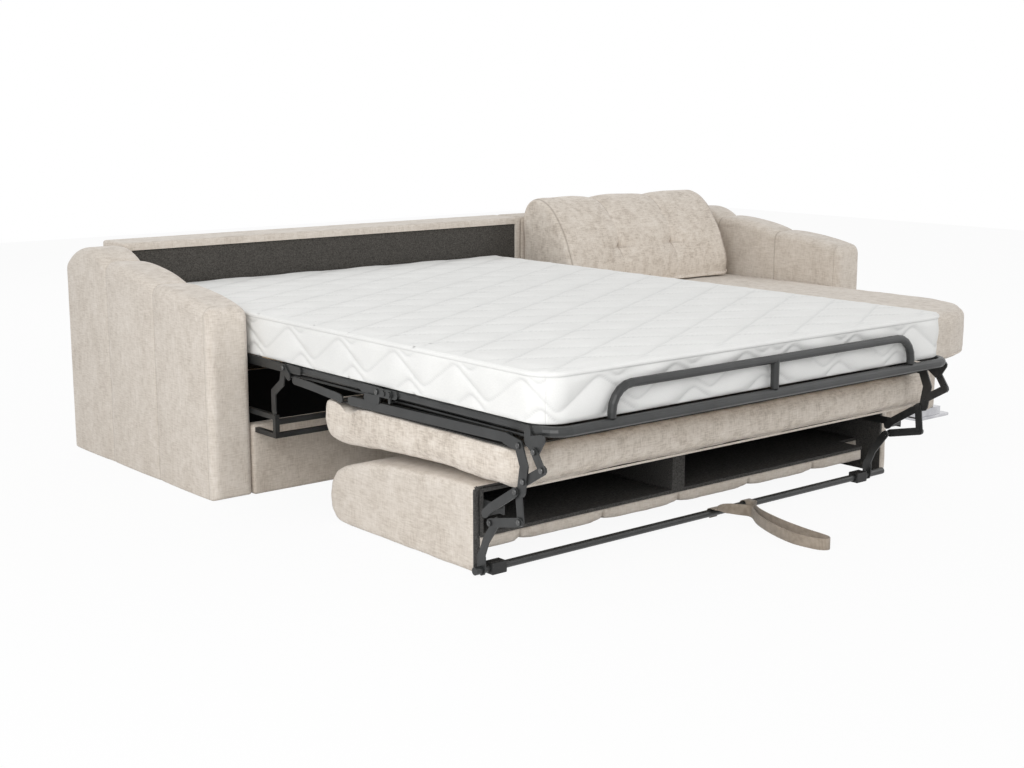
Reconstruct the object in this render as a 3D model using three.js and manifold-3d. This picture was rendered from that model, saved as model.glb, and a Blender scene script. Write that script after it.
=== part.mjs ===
// Corner sofa with a fold-out bed, stored with the bed open.
// Millimetres, +Z up, +Y towards the sofa's back, X to the right of someone facing it.
import * as THREE from 'three';
import { mergeVertices } from 'three/addons/utils/BufferGeometryUtils.js';
import { RoundedBoxGeometry } from 'three/addons/geometries/RoundedBoxGeometry.js';
import Module from 'manifold-3d';

const wasm = await Module();
wasm.setup();

// Clearances
const SEAM = 0.3;
const RUNNING_GAP = 0.4;
const CUT_OVERRUN = 5;

// Sofa body
const ARM_THICKNESS = 130;
const ARM_FRONT_Y = -20;
const BACK_Y = 905;
const CHAISE_WIDTH = 962;
const SOFA_EDGE_RADIUS = 30;
const ARM_KINKS_Y = [306, 611];
const ARM_FRONT_HEIGHT = 541;
const ARM_KINK_HEIGHTS = [583, 623];
const ARM_BACK_HEIGHT = 600;
const ARM_LOBE_RISES = [14, 16, 48];
const ARM_CHANNEL_DEPTH = 8;
const BACK_PANEL_HEIGHT = 665;
const BACK_THICKNESS = 163;
const BACK_FRAME_WIDTH = 25;
const BACK_RECESS_DEPTH = 18;
const BACK_LINING_THICKNESS = 8;
const DECK_LEVEL = 210;
const BASE_PANEL_HEIGHT = 205;
const BASE_PANEL_THICKNESS = 45;
const BASE_EDGE_RADIUS = 8;

// Chaise
const CHAISE_FRONT_Y = -758;
const CHAISE_CORNER_RADIUS = 340;
const CHAISE_SEAT_TOP = 396;
const CHAISE_SEAT_BOTTOM = 238;
const CHAISE_SEAT_CROWN = 12;
const CHAISE_SEAT_EDGE = 24;
const CHAISE_BASE_INSET_FRONT = 110;
const CHAISE_BASE_INSET_SIDE = 100;
const CHAISE_BASE_CORNER = 200;
const CHAISE_FOOT_HEIGHT = 40;
const CHAISE_SHOULDER_GAP = 10;
const CHAISE_SIDE_GAP = 3;
const SKID_WIDTH = 90;
const SKID_DEPTH = 60;
const SKID_PLATE = 6;
const SKID_POST_RADIUS = 16;
const CUSHION_LOBE_PITCH = 284;
const CUSHION_LOBES = 3;
const CUSHION_CHANNEL_DEPTH = 12;
const CUSHION_TUFT_DEPTH = 22;
const CUSHION_DEPTH = 290;
const CUSHION_TOP = 740;

// Bed frame
const MECHANISM_WIDTH = 1535;
const MECHANISM_SIDE_GAP = 103;
const RAIL_RADIUS = 13;
const RAIL_LEVEL = 392;
const RAIL_BEND = 48;
const FOLD_OVERHANG = 161;
const MID_LENGTH = 449;
const FOOT_LENGTH = 655;
const HINGE_SETBACK = 24;
const SLAT_WIDTH = 62;
const SLAT_THICKNESS = 10;
const HEAD_SLATS = 6;
const MID_SLATS = 3;
const FOOT_SLATS = 4;
const ROD_RADIUS = 4;
const ROD_INSET = 35;
const ROD_DROP = 21;
const BATTEN_WIDTH = 30;
const HANGER_WIDTH = 40;
const HANGER_DROP = 52;
const HANGER_SHARES = [0.25, 0.8];

// Mattress
const MATTRESS_SIDE_INSET = 17.5;
const MATTRESS_THICKNESS = 124;
const MATTRESS_FOOT_GAP = 4;
const MATTRESS_EDGE = 12;
const MATTRESS_CROWN = 3;
const MATTRESS_CROWN_REACH = 70;
const MATTRESS_CORNER = 70;
const FOLD_MARGIN = 2;

// Mattress retainer
const RETAINER_RADIUS = 11;
const RETAINER_HEIGHT = 88;
const RETAINER_SIDE_INSET = 206.5;
const RETAINER_BEND = 62;

// Sheet-steel linkage, in layers counted inwards from the wall of the bay
const PLATE = 4;
const OUTER_LAYER = 4;
const MIDDLE_LAYER = 8.5;
const INNER_LAYER = 13;
const LINK_HALF_WIDTH = 11;
const SIDE_PLATE_HALF_WIDTH = 14;
const BOLT_RADIUS = 4.5;
const BOLT_HEAD_RADIUS = 8;
const BOLT_HEAD_HEIGHT = 3;

// Places of the linkage on its side view (y, z)
const GUSSET_HEEL_FROM_CORNER = [71, -26];
const GUSSET_TOE_FROM_CORNER = [23, -15];
const GUSSET_PIN_FROM_CORNER = [43, -46];
const SCISSOR_ELBOW_FROM_CORNER = [17, -84];
const SCISSOR_END_FROM_CORNER = [81, -122];
const SIDE_PLATE_TOP_FROM_CORNER = [97, -40];
const SIDE_PLATE_KNEE_FROM_CORNER = [78, -86];
const SIDE_PLATE_FOOT_FROM_CORNER = [88, -146];
const BACKREST_PIVOT_FROM_CORNER = [103, -149];
const SEAT_BAR_FRONT_FROM_CORNER = [147, -31];
const ARM_ELBOW_FROM_PIVOT = [90, -56];
const ARM_ENTRY_FROM_PIVOT = [112, -75];
const LEG_PIVOT_FROM_PIVOT = [-8, -71];
const LEG_ELBOW_FROM_LEG_PIVOT = [106, -24];
const LEG_KNEE_FROM_BAR = [-18, 77];

// Seat cushion that hangs under the foot section
const CUSHION_LEFT_INSET = 24;
const CUSHION_RIGHT_INSET = 16;
const SEAT_SETBACK = 115;
const SEAT_LENGTH = 825;
const SEAT_FACE_LEVEL = 230;
const SEAT_THICKNESS = 102;
const SEAT_CROWN = 8;
const SEAT_LINER_THICKNESS = 4;
const SEAT_BAR_SETBACK = 157;
const SEAT_BAR_WIDTH = 14;
const SEAT_BAR_HEIGHT = 24;
const CONTROL_ARM_REACH = 110;

// Backrest that folds against the seat cushion
const BACKREST_SETBACK = 285;
const BACKREST_LENGTH = 628;
const BACKREST_THICKNESS = 218;
const BACKREST_WALL = 24;
const BACKREST_LIP = 24;
const BACKREST_RELIEF_HEIGHT = 62;
const BACKREST_RELIEF_LENGTH = 560;
const NOTCH_WIDTH = 92;
const NOTCH_LENGTH = 90;
const BACKREST_CELL_DEPTH = 510;
const BACKREST_LOBE_PITCH = 277;
const BACKREST_CHANNEL_DEPTH = 6;
const LINING_THICKNESS = 9;
const CELL_DIVIDER = 47;
const CELL_DIVIDER_INSET = 699;
const CELL_CORNER = 18;
const SHOE_LENGTH = 99;

// Support leg
const FOOT_BAR_RADIUS = 10;
const FOOT_BAR_SETBACK = 24;
const FOOT_BAR_LEVEL = 15;
const FOOT_BAR_INSET = 10;
const FOOT_BAR_OVERHANG = 40;
const LEG_PLATE_INSET = 30;
const LEG_PLATE_HALF_WIDTH = 15;
const FOOT_PAD_INSET = 52;
const FOOT_PAD_WIDTH = 46;
const FOOT_PAD_DEPTH = 34;
const STRAP_WIDTH = 30;
const STRAP_THICKNESS = 2.5;

// Mount brackets on the base
const BRACKET_TOP = 250;
const BRACKET_BOTTOM = 184;
const BRACKET_REACH = 112;
const BRACKET_BAR = 14;

// Facets
const TUBE_SIDES = 12;
const BEND_STEPS = 5;
const BOLT_SIDES = 8;
const BORE_STEPS = 5;
const CORNER_STEPS = 3;
const LOBE_SHARES = [0.05, 0.18, 0.5, 0.82, 0.95];

// Places that follow from the sizes above
const BAY_WIDTH = MECHANISM_WIDTH + MECHANISM_SIDE_GAP;
const SOFA_WIDTH = ARM_THICKNESS + BAY_WIDTH + CHAISE_WIDTH + ARM_THICKNESS;
const BAY_LEFT = ARM_THICKNESS;
const BAY_RIGHT = BAY_LEFT + BAY_WIDTH;
const MECHANISM_RIGHT = BAY_LEFT + MECHANISM_WIDTH;
const MECHANISM_CENTRE = (BAY_LEFT + MECHANISM_RIGHT) / 2;
const BACK_PANEL_FRONT_Y = BACK_Y - BACK_THICKNESS;
const CUSHION_BACK_Y = BACK_PANEL_FRONT_Y;
const CHAISE_LEFT = BAY_RIGHT + CHAISE_SIDE_GAP;
const CHAISE_RIGHT = SOFA_WIDTH - ARM_THICKNESS;
const RAIL_INSET = INNER_LAYER + PLATE + RUNNING_GAP + RAIL_RADIUS;
const RAIL_LEFT = BAY_LEFT + RAIL_INSET;
const RAIL_RIGHT = MECHANISM_RIGHT - RAIL_INSET;
const RAIL_TOP = RAIL_LEVEL + RAIL_RADIUS;
const ROD_LEVEL = RAIL_LEVEL - ROD_DROP;
const MATTRESS_BOTTOM = RAIL_TOP + RUNNING_GAP;
const MATTRESS_TOP = MATTRESS_BOTTOM + MATTRESS_THICKNESS;
const FOLD_REACH = MATTRESS_TOP + MATTRESS_CROWN - RAIL_LEVEL + FOLD_MARGIN;
const CUSHION_LEFT = BAY_LEFT + CUSHION_LEFT_INSET;
const CUSHION_RIGHT = BAY_RIGHT - CUSHION_RIGHT_INSET;
const FOLD_A_Y = ARM_FRONT_Y - FOLD_OVERHANG;
const FOLD_B_Y = FOLD_A_Y - MID_LENGTH;
const FOOT_TUBE_Y = FOLD_B_Y - FOOT_LENGTH;
const SEAT_NOSE_Y = FOOT_TUBE_Y + SEAT_SETBACK + SEAT_LENGTH;
const BACKREST_OPEN_Y = FOOT_TUBE_Y + BACKREST_SETBACK;
const FOOT_BAR_Y = BACKREST_OPEN_Y - FOOT_BAR_SETBACK;
const BRACKET_FRONT_Y = ARM_FRONT_Y - BRACKET_REACH;
const SEAT_TOP = SEAT_FACE_LEVEL + SEAT_THICKNESS;
const LINER_TOP = SEAT_TOP + SEAM + SEAT_LINER_THICKNESS;

// Points of the linkage on its side view
const at = (y, z) => new THREE.Vector2(y, z);
const PIVOT_A = at(FOLD_A_Y, RAIL_LEVEL);
const PIVOT_B = at(FOLD_B_Y, RAIL_LEVEL);
const CORNER = at(FOOT_TUBE_Y, RAIL_LEVEL);
const from = (start, [y, z]) => at(start.x + y, start.y + z);
const GUSSET_HEEL = from(CORNER, GUSSET_HEEL_FROM_CORNER);
const GUSSET_TOE = from(CORNER, GUSSET_TOE_FROM_CORNER);
const GUSSET_PIN = from(CORNER, GUSSET_PIN_FROM_CORNER);
const SCISSOR_ELBOW = from(CORNER, SCISSOR_ELBOW_FROM_CORNER);
const SCISSOR_END = from(CORNER, SCISSOR_END_FROM_CORNER);
const SIDE_PLATE_TOP = from(CORNER, SIDE_PLATE_TOP_FROM_CORNER);
const SIDE_PLATE_KNEE = from(CORNER, SIDE_PLATE_KNEE_FROM_CORNER);
const SIDE_PLATE_FOOT = from(CORNER, SIDE_PLATE_FOOT_FROM_CORNER);
const SEAT_BAR_FRONT = from(CORNER, SEAT_BAR_FRONT_FROM_CORNER);
const BACKREST_PIVOT = from(CORNER, BACKREST_PIVOT_FROM_CORNER);
const ARM_ELBOW = from(BACKREST_PIVOT, ARM_ELBOW_FROM_PIVOT);
const ARM_ENTRY = from(BACKREST_PIVOT, ARM_ENTRY_FROM_PIVOT);
const LEG_PIVOT = from(BACKREST_PIVOT, LEG_PIVOT_FROM_PIVOT);
const LEG_ELBOW = from(LEG_PIVOT, LEG_ELBOW_FROM_LEG_PIVOT);
const FOOT_BAR_CENTRE = at(FOOT_BAR_Y, FOOT_BAR_LEVEL);
const LEG_KNEE = from(FOOT_BAR_CENTRE, LEG_KNEE_FROM_BAR);
const SWING_LUG = at(FOLD_A_Y - HINGE_SETBACK, ROD_LEVEL);
const HINGE_LUG = at(FOLD_B_Y + 2 * HINGE_SETBACK, ROD_LEVEL);
const PAD_LUG = at(FOLD_B_Y - 2 * HINGE_SETBACK, ROD_LEVEL);
const SEAT_BAR_REAR = at(SEAT_NOSE_Y - SEAT_BAR_SETBACK, LINER_TOP + SEAM + SEAT_BAR_HEIGHT / 2);

const FABRIC = new THREE.MeshStandardMaterial({ color: 0xcfc3b7, roughness: 0.95, metalness: 0 });
const FABRIC_SHADE = new THREE.MeshStandardMaterial({ color: 0xb8ab9d, roughness: 0.95, metalness: 0 });
const LINING = new THREE.MeshStandardMaterial({ color: 0x4b4844, roughness: 1, metalness: 0 });
const DARK_LINING = new THREE.MeshStandardMaterial({ color: 0x2a2a29, roughness: 1, metalness: 0 });
const STEEL = new THREE.MeshStandardMaterial({ color: 0x3c3c3b, roughness: 0.45, metalness: 0.2 });
const CHROME = new THREE.MeshStandardMaterial({ color: 0xd0d0d0, roughness: 0.12, metalness: 1 });
const RUBBER = new THREE.MeshStandardMaterial({ color: 0x1c1c1c, roughness: 0.7, metalness: 0 });
const TICKING = new THREE.MeshStandardMaterial({ color: 0xe9e9e6, roughness: 0.85, metalness: 0 });
const BEECH = new THREE.MeshStandardMaterial({ color: 0xcaa878, roughness: 0.6, metalness: 0 });
const WEBBING = new THREE.MeshStandardMaterial({ color: 0x8c8074, roughness: 0.9, metalness: 0 });

const sofa = new THREE.Group();

function addPart(name, geometry, material) {
  geometry.computeVertexNormals();
  const mesh = new THREE.Mesh(geometry, material);
  mesh.name = name;
  sofa.add(mesh);
}

// Joins and cuts

function solidOf(geometry) {
  const bare = geometry.clone();
  bare.deleteAttribute('normal');
  bare.deleteAttribute('uv');
  const welded = mergeVertices(bare);
  const vertProperties = Float32Array.from(welded.attributes.position.array);
  const triVerts = Uint32Array.from(welded.index.array);
  return new wasm.Manifold(new wasm.Mesh({ numProp: 3, vertProperties, triVerts }));
}

function geometryOf(solid) {
  const mesh = solid.getMesh();
  const geometry = new THREE.BufferGeometry();
  geometry.setAttribute('position', new THREE.BufferAttribute(Float32Array.from(mesh.vertProperties), 3));
  geometry.setIndex(new THREE.BufferAttribute(Uint32Array.from(mesh.triVerts), 1));
  return geometry;
}

function joined(...geometries) {
  return geometryOf(wasm.Manifold.union(geometries.map(solidOf)));
}

function cut(geometry, ...tools) {
  return geometryOf(solidOf(geometry).subtract(wasm.Manifold.union(tools.map(solidOf))));
}

// Plain shapes

function block(x, y, z) {
  const geometry = new THREE.BoxGeometry(x[1] - x[0], y[1] - y[0], z[1] - z[0]);
  return geometry.translate((x[0] + x[1]) / 2, (y[0] + y[1]) / 2, (z[0] + z[1]) / 2);
}

function softBlock(x, y, z, radius, steps = 1) {
  const geometry = new RoundedBoxGeometry(x[1] - x[0], y[1] - y[0], z[1] - z[0], steps, radius);
  return geometry.translate((x[0] + x[1]) / 2, (y[0] + y[1]) / 2, (z[0] + z[1]) / 2);
}

function mirrored(geometry) {
  const copy = geometry.clone();
  const position = copy.attributes.position;
  for (let i = 0; i < position.count; i += 1) {
    position.setX(i, BAY_LEFT + MECHANISM_RIGHT - position.getX(i));
  }
  if (!copy.index) {
    copy.setIndex([...Array(position.count).keys()]);
  }
  const index = copy.index;
  for (let i = 0; i < index.count; i += 3) {
    const first = index.getX(i);
    index.setX(i, index.getX(i + 2));
    index.setX(i + 2, first);
  }
  return copy;
}

function addPair(name, geometry, material) {
  addPart(`${name}_left`, geometry, material);
  addPart(`${name}_right`, mirrored(geometry), material);
}

// A closed body through rings of equal point count, capped by fans

function signedVolume(points, faces) {
  let volume = 0;
  for (const [a, b, c] of faces) {
    volume += points[a].dot(new THREE.Vector3().crossVectors(points[b], points[c])) / 6;
  }
  return volume;
}

function loft(rings) {
  const points = rings.flat();
  const around = rings[0].length;
  const faces = [];
  for (let r = 0; r + 1 < rings.length; r += 1) {
    for (let i = 0; i < around; i += 1) {
      const a = r * around + i;
      const b = r * around + (i + 1) % around;
      faces.push([a, b, b + around], [a, b + around, a + around]);
    }
  }
  const caps = [[0, true], [(rings.length - 1) * around, false]];
  for (const [start, reversed] of caps) {
    const ring = points.slice(start, start + around);
    const middle = ring.reduce((sum, p) => sum.add(p), new THREE.Vector3()).divideScalar(around);
    points.push(middle);
    for (let i = 0; i < around; i += 1) {
      const a = start + i;
      const b = start + (i + 1) % around;
      faces.push(reversed ? [b, a, points.length - 1] : [a, b, points.length - 1]);
    }
  }
  const outward = signedVolume(points, faces) > 0;
  const geometry = new THREE.BufferGeometry().setFromPoints(points);
  geometry.setIndex(faces.flatMap(([a, b, c]) => (outward ? [a, b, c] : [a, c, b])));
  return geometry;
}

// A rectangle with a radius of its own at each corner, as points (u, v)
function roundedOutline(u, v, radii, steps = CORNER_STEPS) {
  const [r0, r1, r2, r3] = radii;
  const corners = [
    [u[1] - r0, v[0] + r0, r0, -0.25],
    [u[1] - r1, v[1] - r1, r1, 0],
    [u[0] + r2, v[1] - r2, r2, 0.25],
    [u[0] + r3, v[0] + r3, r3, 0.5],
  ];
  const outline = [];
  for (const [cu, cv, radius, startTurn] of corners) {
    for (let i = 0; i <= steps; i += 1) {
      const angle = (startTurn + 0.25 * i / steps) * 2 * Math.PI;
      outline.push(at(cu + radius * Math.cos(angle), cv + radius * Math.sin(angle)));
    }
  }
  return outline;
}

// A flat cushion lofted upwards through insets of one plan outline
function paddedSlab(x, y, radii, layers) {
  const rings = layers.map(([level, inset]) => {
    const shrunk = radii.map((radius) => Math.max(radius - inset, SEAM));
    const outline = roundedOutline([x[0] + inset, x[1] - inset], [y[0] + inset, y[1] - inset], shrunk);
    return outline.map((p) => new THREE.Vector3(p.x, p.y, level));
  });
  return loft(rings);
}

// How far a channelled face is drawn in, from 1 at a seam to 0 over the lobe
const drawnIn = (share) => Math.abs(2 * share - 1) ** 5;

// Stations along a channelled body: over each lobe, and round the radius of both ends
function lobeStations(seams, edgeRadius) {
  const first = seams[0];
  const last = seams.at(-1);
  const places = seams.slice(1, -1);
  for (let lobe = 0; lobe + 1 < seams.length; lobe += 1) {
    for (const share of LOBE_SHARES) {
      places.push(seams[lobe] + (seams[lobe + 1] - seams[lobe]) * share);
    }
  }
  const inside = places.filter((place) => Math.min(place - first, last - place) > edgeRadius);
  for (let k = 0; k <= CORNER_STEPS; k += 1) {
    const distance = edgeRadius * (1 - Math.cos(0.5 * Math.PI * k / CORNER_STEPS));
    inside.push(first + distance, last - distance);
  }
  inside.sort((a, b) => a - b);
  return inside.map((place) => {
    const lobe = Math.min(seams.findLastIndex((seam) => seam <= place), seams.length - 2);
    const share = (place - seams[lobe]) / (seams[lobe + 1] - seams[lobe]);
    const outermost = (lobe === 0 && share < 0.5) || (lobe === seams.length - 2 && share > 0.5);
    const distance = Math.min(place - first, last - place, edgeRadius);
    const edge = edgeRadius - Math.sqrt(edgeRadius ** 2 - (edgeRadius - distance) ** 2);
    return { place, lobe, share, edge, seam: outermost ? 0 : drawnIn(share) };
  });
}

// Tubes

class BentPath extends THREE.Curve {
  constructor(points) {
    super();
    this.points = points;
  }

  getPoint(t) {
    const place = t * (this.points.length - 1);
    const before = Math.min(Math.floor(place + 1e-6), this.points.length - 2);
    return this.points[before].clone().lerp(this.points[before + 1], place - before);
  }

  getPointAt(u) {
    return this.getPoint(u);
  }

  getTangentAt(u) {
    const near = Math.round(u * (this.points.length - 1));
    const before = this.points[Math.max(near - 1, 0)];
    const after = this.points[Math.min(near + 1, this.points.length - 1)];
    return after.clone().sub(before).normalize();
  }
}

function bent(corners, radius) {
  const points = [corners[0]];
  for (let i = 1; i + 1 < corners.length; i += 1) {
    const back = corners[i - 1].clone().sub(corners[i]).normalize();
    const ahead = corners[i + 1].clone().sub(corners[i]).normalize();
    const half = back.angleTo(ahead) / 2;
    const setback = radius / Math.tan(half);
    const middle = back.clone().add(ahead).normalize();
    const centre = middle.multiplyScalar(radius / Math.sin(half)).add(corners[i]);
    const start = back.clone().multiplyScalar(setback).add(corners[i]).sub(centre);
    const axis = new THREE.Vector3().crossVectors(ahead, back).normalize();
    for (let k = 0; k <= BEND_STEPS; k += 1) {
      const turn = (Math.PI - 2 * half) * k / BEND_STEPS;
      points.push(start.clone().applyAxisAngle(axis, turn).add(centre));
    }
  }
  points.push(corners.at(-1));
  return points;
}

function tube(points, radius, sides = TUBE_SIDES) {
  const section = new THREE.Shape(
    Array.from({ length: sides }, (_, i) => at(radius, 0).rotateAround(at(0, 0), 2 * Math.PI * i / sides)),
  );
  const path = new BentPath(points);
  return new THREE.ExtrudeGeometry(section, { steps: points.length - 1, extrudePath: path });
}

const spot = (x, p) => new THREE.Vector3(x, p.x, p.y);

// Sheet-steel pieces cut from a side view (y, z) and given a thickness along x

function onEdge(shape, inset, thickness) {
  const settings = { depth: thickness, bevelEnabled: false, curveSegments: BORE_STEPS };
  const geometry = new THREE.ExtrudeGeometry(shape, settings);
  const sideways = new THREE.Matrix4().set(0, 0, 1, BAY_LEFT + inset, 1, 0, 0, 0, 0, 1, 0, 0, 0, 0, 0, 1);
  return geometry.applyMatrix4(sideways);
}

function hole(centre, radius = BOLT_RADIUS + RUNNING_GAP) {
  const path = new THREE.Path();
  path.absarc(centre.x, centre.y, radius, 0, 2 * Math.PI, true);
  return path;
}

// A strip of sheet along a line of points, with round ends
function strip(points, halfWidth) {
  const left = [];
  const right = [];
  points.forEach((p, i) => {
    const before = points[Math.max(i - 1, 0)];
    const after = points[Math.min(i + 1, points.length - 1)];
    const into = p.clone().sub(before).normalize();
    const away = after.clone().sub(p).normalize();
    const along = into.add(away).normalize();
    const normal = at(-along.y, along.x);
    const facing = i > 0 && i + 1 < points.length ? Math.abs(normal.dot(at(-away.y, away.x))) : 1;
    left.push(normal.clone().multiplyScalar(halfWidth / facing).add(p));
    right.push(normal.clone().multiplyScalar(-halfWidth / facing).add(p));
  });
  const outline = [...right];
  const capSteps = 4;
  const lastNormal = left.at(-1).clone().sub(points.at(-1));
  for (let k = 1; k < capSteps; k += 1) {
    outline.push(lastNormal.clone().rotateAround(at(0, 0), Math.PI * (k / capSteps - 1)).add(points.at(-1)));
  }
  outline.push(...left.reverse());
  const firstNormal = left.at(-1).clone().sub(points[0]);
  for (let k = 1; k < capSteps; k += 1) {
    outline.push(firstNormal.clone().rotateAround(at(0, 0), Math.PI * k / capSteps).add(points[0]));
  }
  return new THREE.Shape(outline);
}

// A bolt through the linkage's layers, its head on the outer side of the inset it starts from
function bolt(centre, fromInset, toInset) {
  const headInset = fromInset - BOLT_HEAD_HEIGHT;
  const shank = new THREE.CylinderGeometry(BOLT_RADIUS, BOLT_RADIUS, toInset - headInset, BOLT_SIDES);
  const head = new THREE.CylinderGeometry(BOLT_HEAD_RADIUS, BOLT_HEAD_RADIUS, BOLT_HEAD_HEIGHT, BOLT_SIDES);
  shank.rotateZ(Math.PI / 2).translate((toInset + headInset) / 2, 0, 0);
  head.rotateZ(Math.PI / 2).translate((fromInset + headInset) / 2, 0, 0);
  return joined(shank, head).translate(BAY_LEFT, centre.x, centre.y);
}

// The bore in a plate for a bolt that turns or passes through it
function bore(centre, inset, thickness) {
  const disc = new THREE.Shape(hole(centre).getPoints(BORE_STEPS));
  return onEdge(disc, inset - PLATE, thickness + 2 * PLATE);
}

// Arms and back

function armBody() {
  const seams = [ARM_FRONT_Y, ...ARM_KINKS_Y, BACK_Y];
  const heights = [ARM_FRONT_HEIGHT, ...ARM_KINK_HEIGHTS, ARM_BACK_HEIGHT];
  const rings = lobeStations(seams, SOFA_EDGE_RADIUS).map(({ place, lobe, share, edge, seam }) => {
    const chord = THREE.MathUtils.lerp(heights[lobe], heights[lobe + 1], share);
    const crest = chord + ARM_LOBE_RISES[lobe] * (1 - Math.abs(2 * share - 1) ** 2.4) - edge;
    const inset = edge + ARM_CHANNEL_DEPTH * seam;
    const radius = Math.max(SOFA_EDGE_RADIUS - edge / 2, BASE_EDGE_RADIUS);
    const radii = [BASE_EDGE_RADIUS, radius, radius, BASE_EDGE_RADIUS];
    const outline = roundedOutline([inset, ARM_THICKNESS - inset], [0, crest], radii);
    return outline.map((p) => new THREE.Vector3(p.x, place, p.y));
  });
  return loft(rings);
}

function addArms() {
  addPart('left_arm', armBody(), FABRIC);
  addPart('right_arm', armBody().translate(CHAISE_RIGHT, 0, 0), FABRIC);
}

function addBack() {
  const x = [BAY_LEFT + SEAM, BAY_RIGHT - SEAM];
  const panel = softBlock(x, [BACK_PANEL_FRONT_Y, BACK_Y], [0, BACK_PANEL_HEIGHT], BASE_EDGE_RADIUS, 2);
  const inner = [x[0] + BACK_FRAME_WIDTH, x[1] - BACK_FRAME_WIDTH];
  const recessBack = BACK_PANEL_FRONT_Y + BACK_RECESS_DEPTH;
  const recessTop = BACK_PANEL_HEIGHT - BACK_FRAME_WIDTH;
  const recess = block(inner, [BACK_PANEL_FRONT_Y - CUT_OVERRUN, recessBack], [DECK_LEVEL, recessTop]);
  addPart('back_panel', cut(panel, recess), FABRIC);
  const lining = block(
    [inner[0] + SEAM, inner[1] - SEAM],
    [recessBack - SEAM - BACK_LINING_THICKNESS, recessBack - SEAM],
    [DECK_LEVEL + SEAM, recessTop - SEAM],
  );
  addPart('back_lining', lining, LINING);
}

function addBasePanel() {
  const y = [ARM_FRONT_Y, ARM_FRONT_Y + BASE_PANEL_THICKNESS];
  const panel = softBlock([BAY_LEFT + SEAM, BAY_RIGHT - SEAM], y, [0, BASE_PANEL_HEIGHT], BASE_EDGE_RADIUS);
  addPart('base_front_panel', panel, FABRIC_SHADE);
}

// Chaise

const CHAISE_BASE_FRONT_Y = CHAISE_FRONT_Y + CHAISE_BASE_INSET_FRONT;
const CHAISE_BASE_RIGHT = CHAISE_RIGHT - CHAISE_BASE_INSET_SIDE;
const CHAISE_SHOULDER_Y = ARM_FRONT_Y - CHAISE_SHOULDER_GAP;
const CUSHION_FLOOR = CHAISE_SEAT_TOP + CHAISE_SEAT_CROWN + SEAM;

function addChaiseBase() {
  const plan = new THREE.Shape();
  plan.moveTo(BAY_RIGHT, CHAISE_BASE_FRONT_Y);
  plan.lineTo(CHAISE_BASE_RIGHT - CHAISE_BASE_CORNER, CHAISE_BASE_FRONT_Y);
  const cornerY = CHAISE_BASE_FRONT_Y + CHAISE_BASE_CORNER;
  plan.absarc(CHAISE_BASE_RIGHT - CHAISE_BASE_CORNER, cornerY, CHAISE_BASE_CORNER, -Math.PI / 2, 0, false);
  plan.lineTo(CHAISE_BASE_RIGHT, CHAISE_SHOULDER_Y);
  plan.lineTo(CHAISE_RIGHT - SEAM, CHAISE_SHOULDER_Y);
  plan.lineTo(CHAISE_RIGHT - SEAM, BACK_Y - SOFA_EDGE_RADIUS);
  plan.lineTo(BAY_RIGHT, BACK_Y - SOFA_EDGE_RADIUS);
  const depth = CHAISE_SEAT_BOTTOM - SEAM - CHAISE_FOOT_HEIGHT;
  const body = new THREE.ExtrudeGeometry(plan, { depth, bevelEnabled: false, curveSegments: 8 });
  addPart('chaise_base', body.translate(0, 0, CHAISE_FOOT_HEIGHT), FABRIC_SHADE);
}

function addChaiseSeat() {
  const top = CHAISE_SEAT_TOP;
  const corner = CHAISE_SEAT_EDGE;
  const radii = [CHAISE_CORNER_RADIUS, corner, corner, corner];
  const layers = [
    [CHAISE_SEAT_BOTTOM, CHAISE_SEAT_EDGE / 2],
    [CHAISE_SEAT_BOTTOM + CHAISE_SEAT_EDGE / 2, 0],
    [top - CHAISE_SEAT_EDGE, 0],
    [top - CHAISE_SEAT_EDGE / 3, CHAISE_SEAT_EDGE / 3],
    [top, CHAISE_SEAT_EDGE],
    [top + CHAISE_SEAT_CROWN * 0.6, CHAISE_SEAT_EDGE * 5],
    [top + CHAISE_SEAT_CROWN, CHAISE_SEAT_EDGE * 11],
  ];
  const x = [CHAISE_LEFT, CHAISE_RIGHT - CHAISE_SHOULDER_GAP];
  addPart('chaise_seat', paddedSlab(x, [CHAISE_FRONT_Y, CUSHION_BACK_Y], radii, layers), FABRIC);
}

function addChaiseBackFrame() {
  const x = [BAY_RIGHT + SEAM, CHAISE_RIGHT - SEAM];
  const y = [CUSHION_BACK_Y + SEAM, BACK_Y];
  const frame = softBlock(x, y, [CHAISE_SEAT_BOTTOM, BACK_PANEL_HEIGHT], BASE_EDGE_RADIUS, 2);
  addPart('chaise_back_frame', frame, FABRIC_SHADE);
}

// Side view of the back cushion: share of its depth, share of its height, how far a channel draws
// that point in, and how far the tuft does
const CUSHION_PROFILE_SHARES = [
  [0.03, 0.02, 0, 0],
  [0.1, 0, 0, 0],
  [0.93, 0, 0, 0],
  [0.985, 0.05, 0.2, 0],
  [1, 0.15, 0.3, 0],
  [0.98, 0.26, 0.4, 0],
  [0.945, 0.35, 0.5, 0.4],
  [0.91, 0.43, 0.5, 1],
  [0.865, 0.53, 0.5, 0.3],
  [0.79, 0.65, 0.6, 0],
  [0.705, 0.755, 0.8, 0],
  [0.6, 0.86, 0.9, 0],
  [0.49, 0.937, 1, 0],
  [0.37, 0.985, 1, 0],
  [0.25, 1, 1, 0],
  [0.12, 0.97, 1, 0],
  [0.03, 0.88, 0.8, 0],
  [0, 0.7, 0.3, 0],
];
const CUSHION_MIDDLE_SHARES = [0.45, 0.45];

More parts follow.
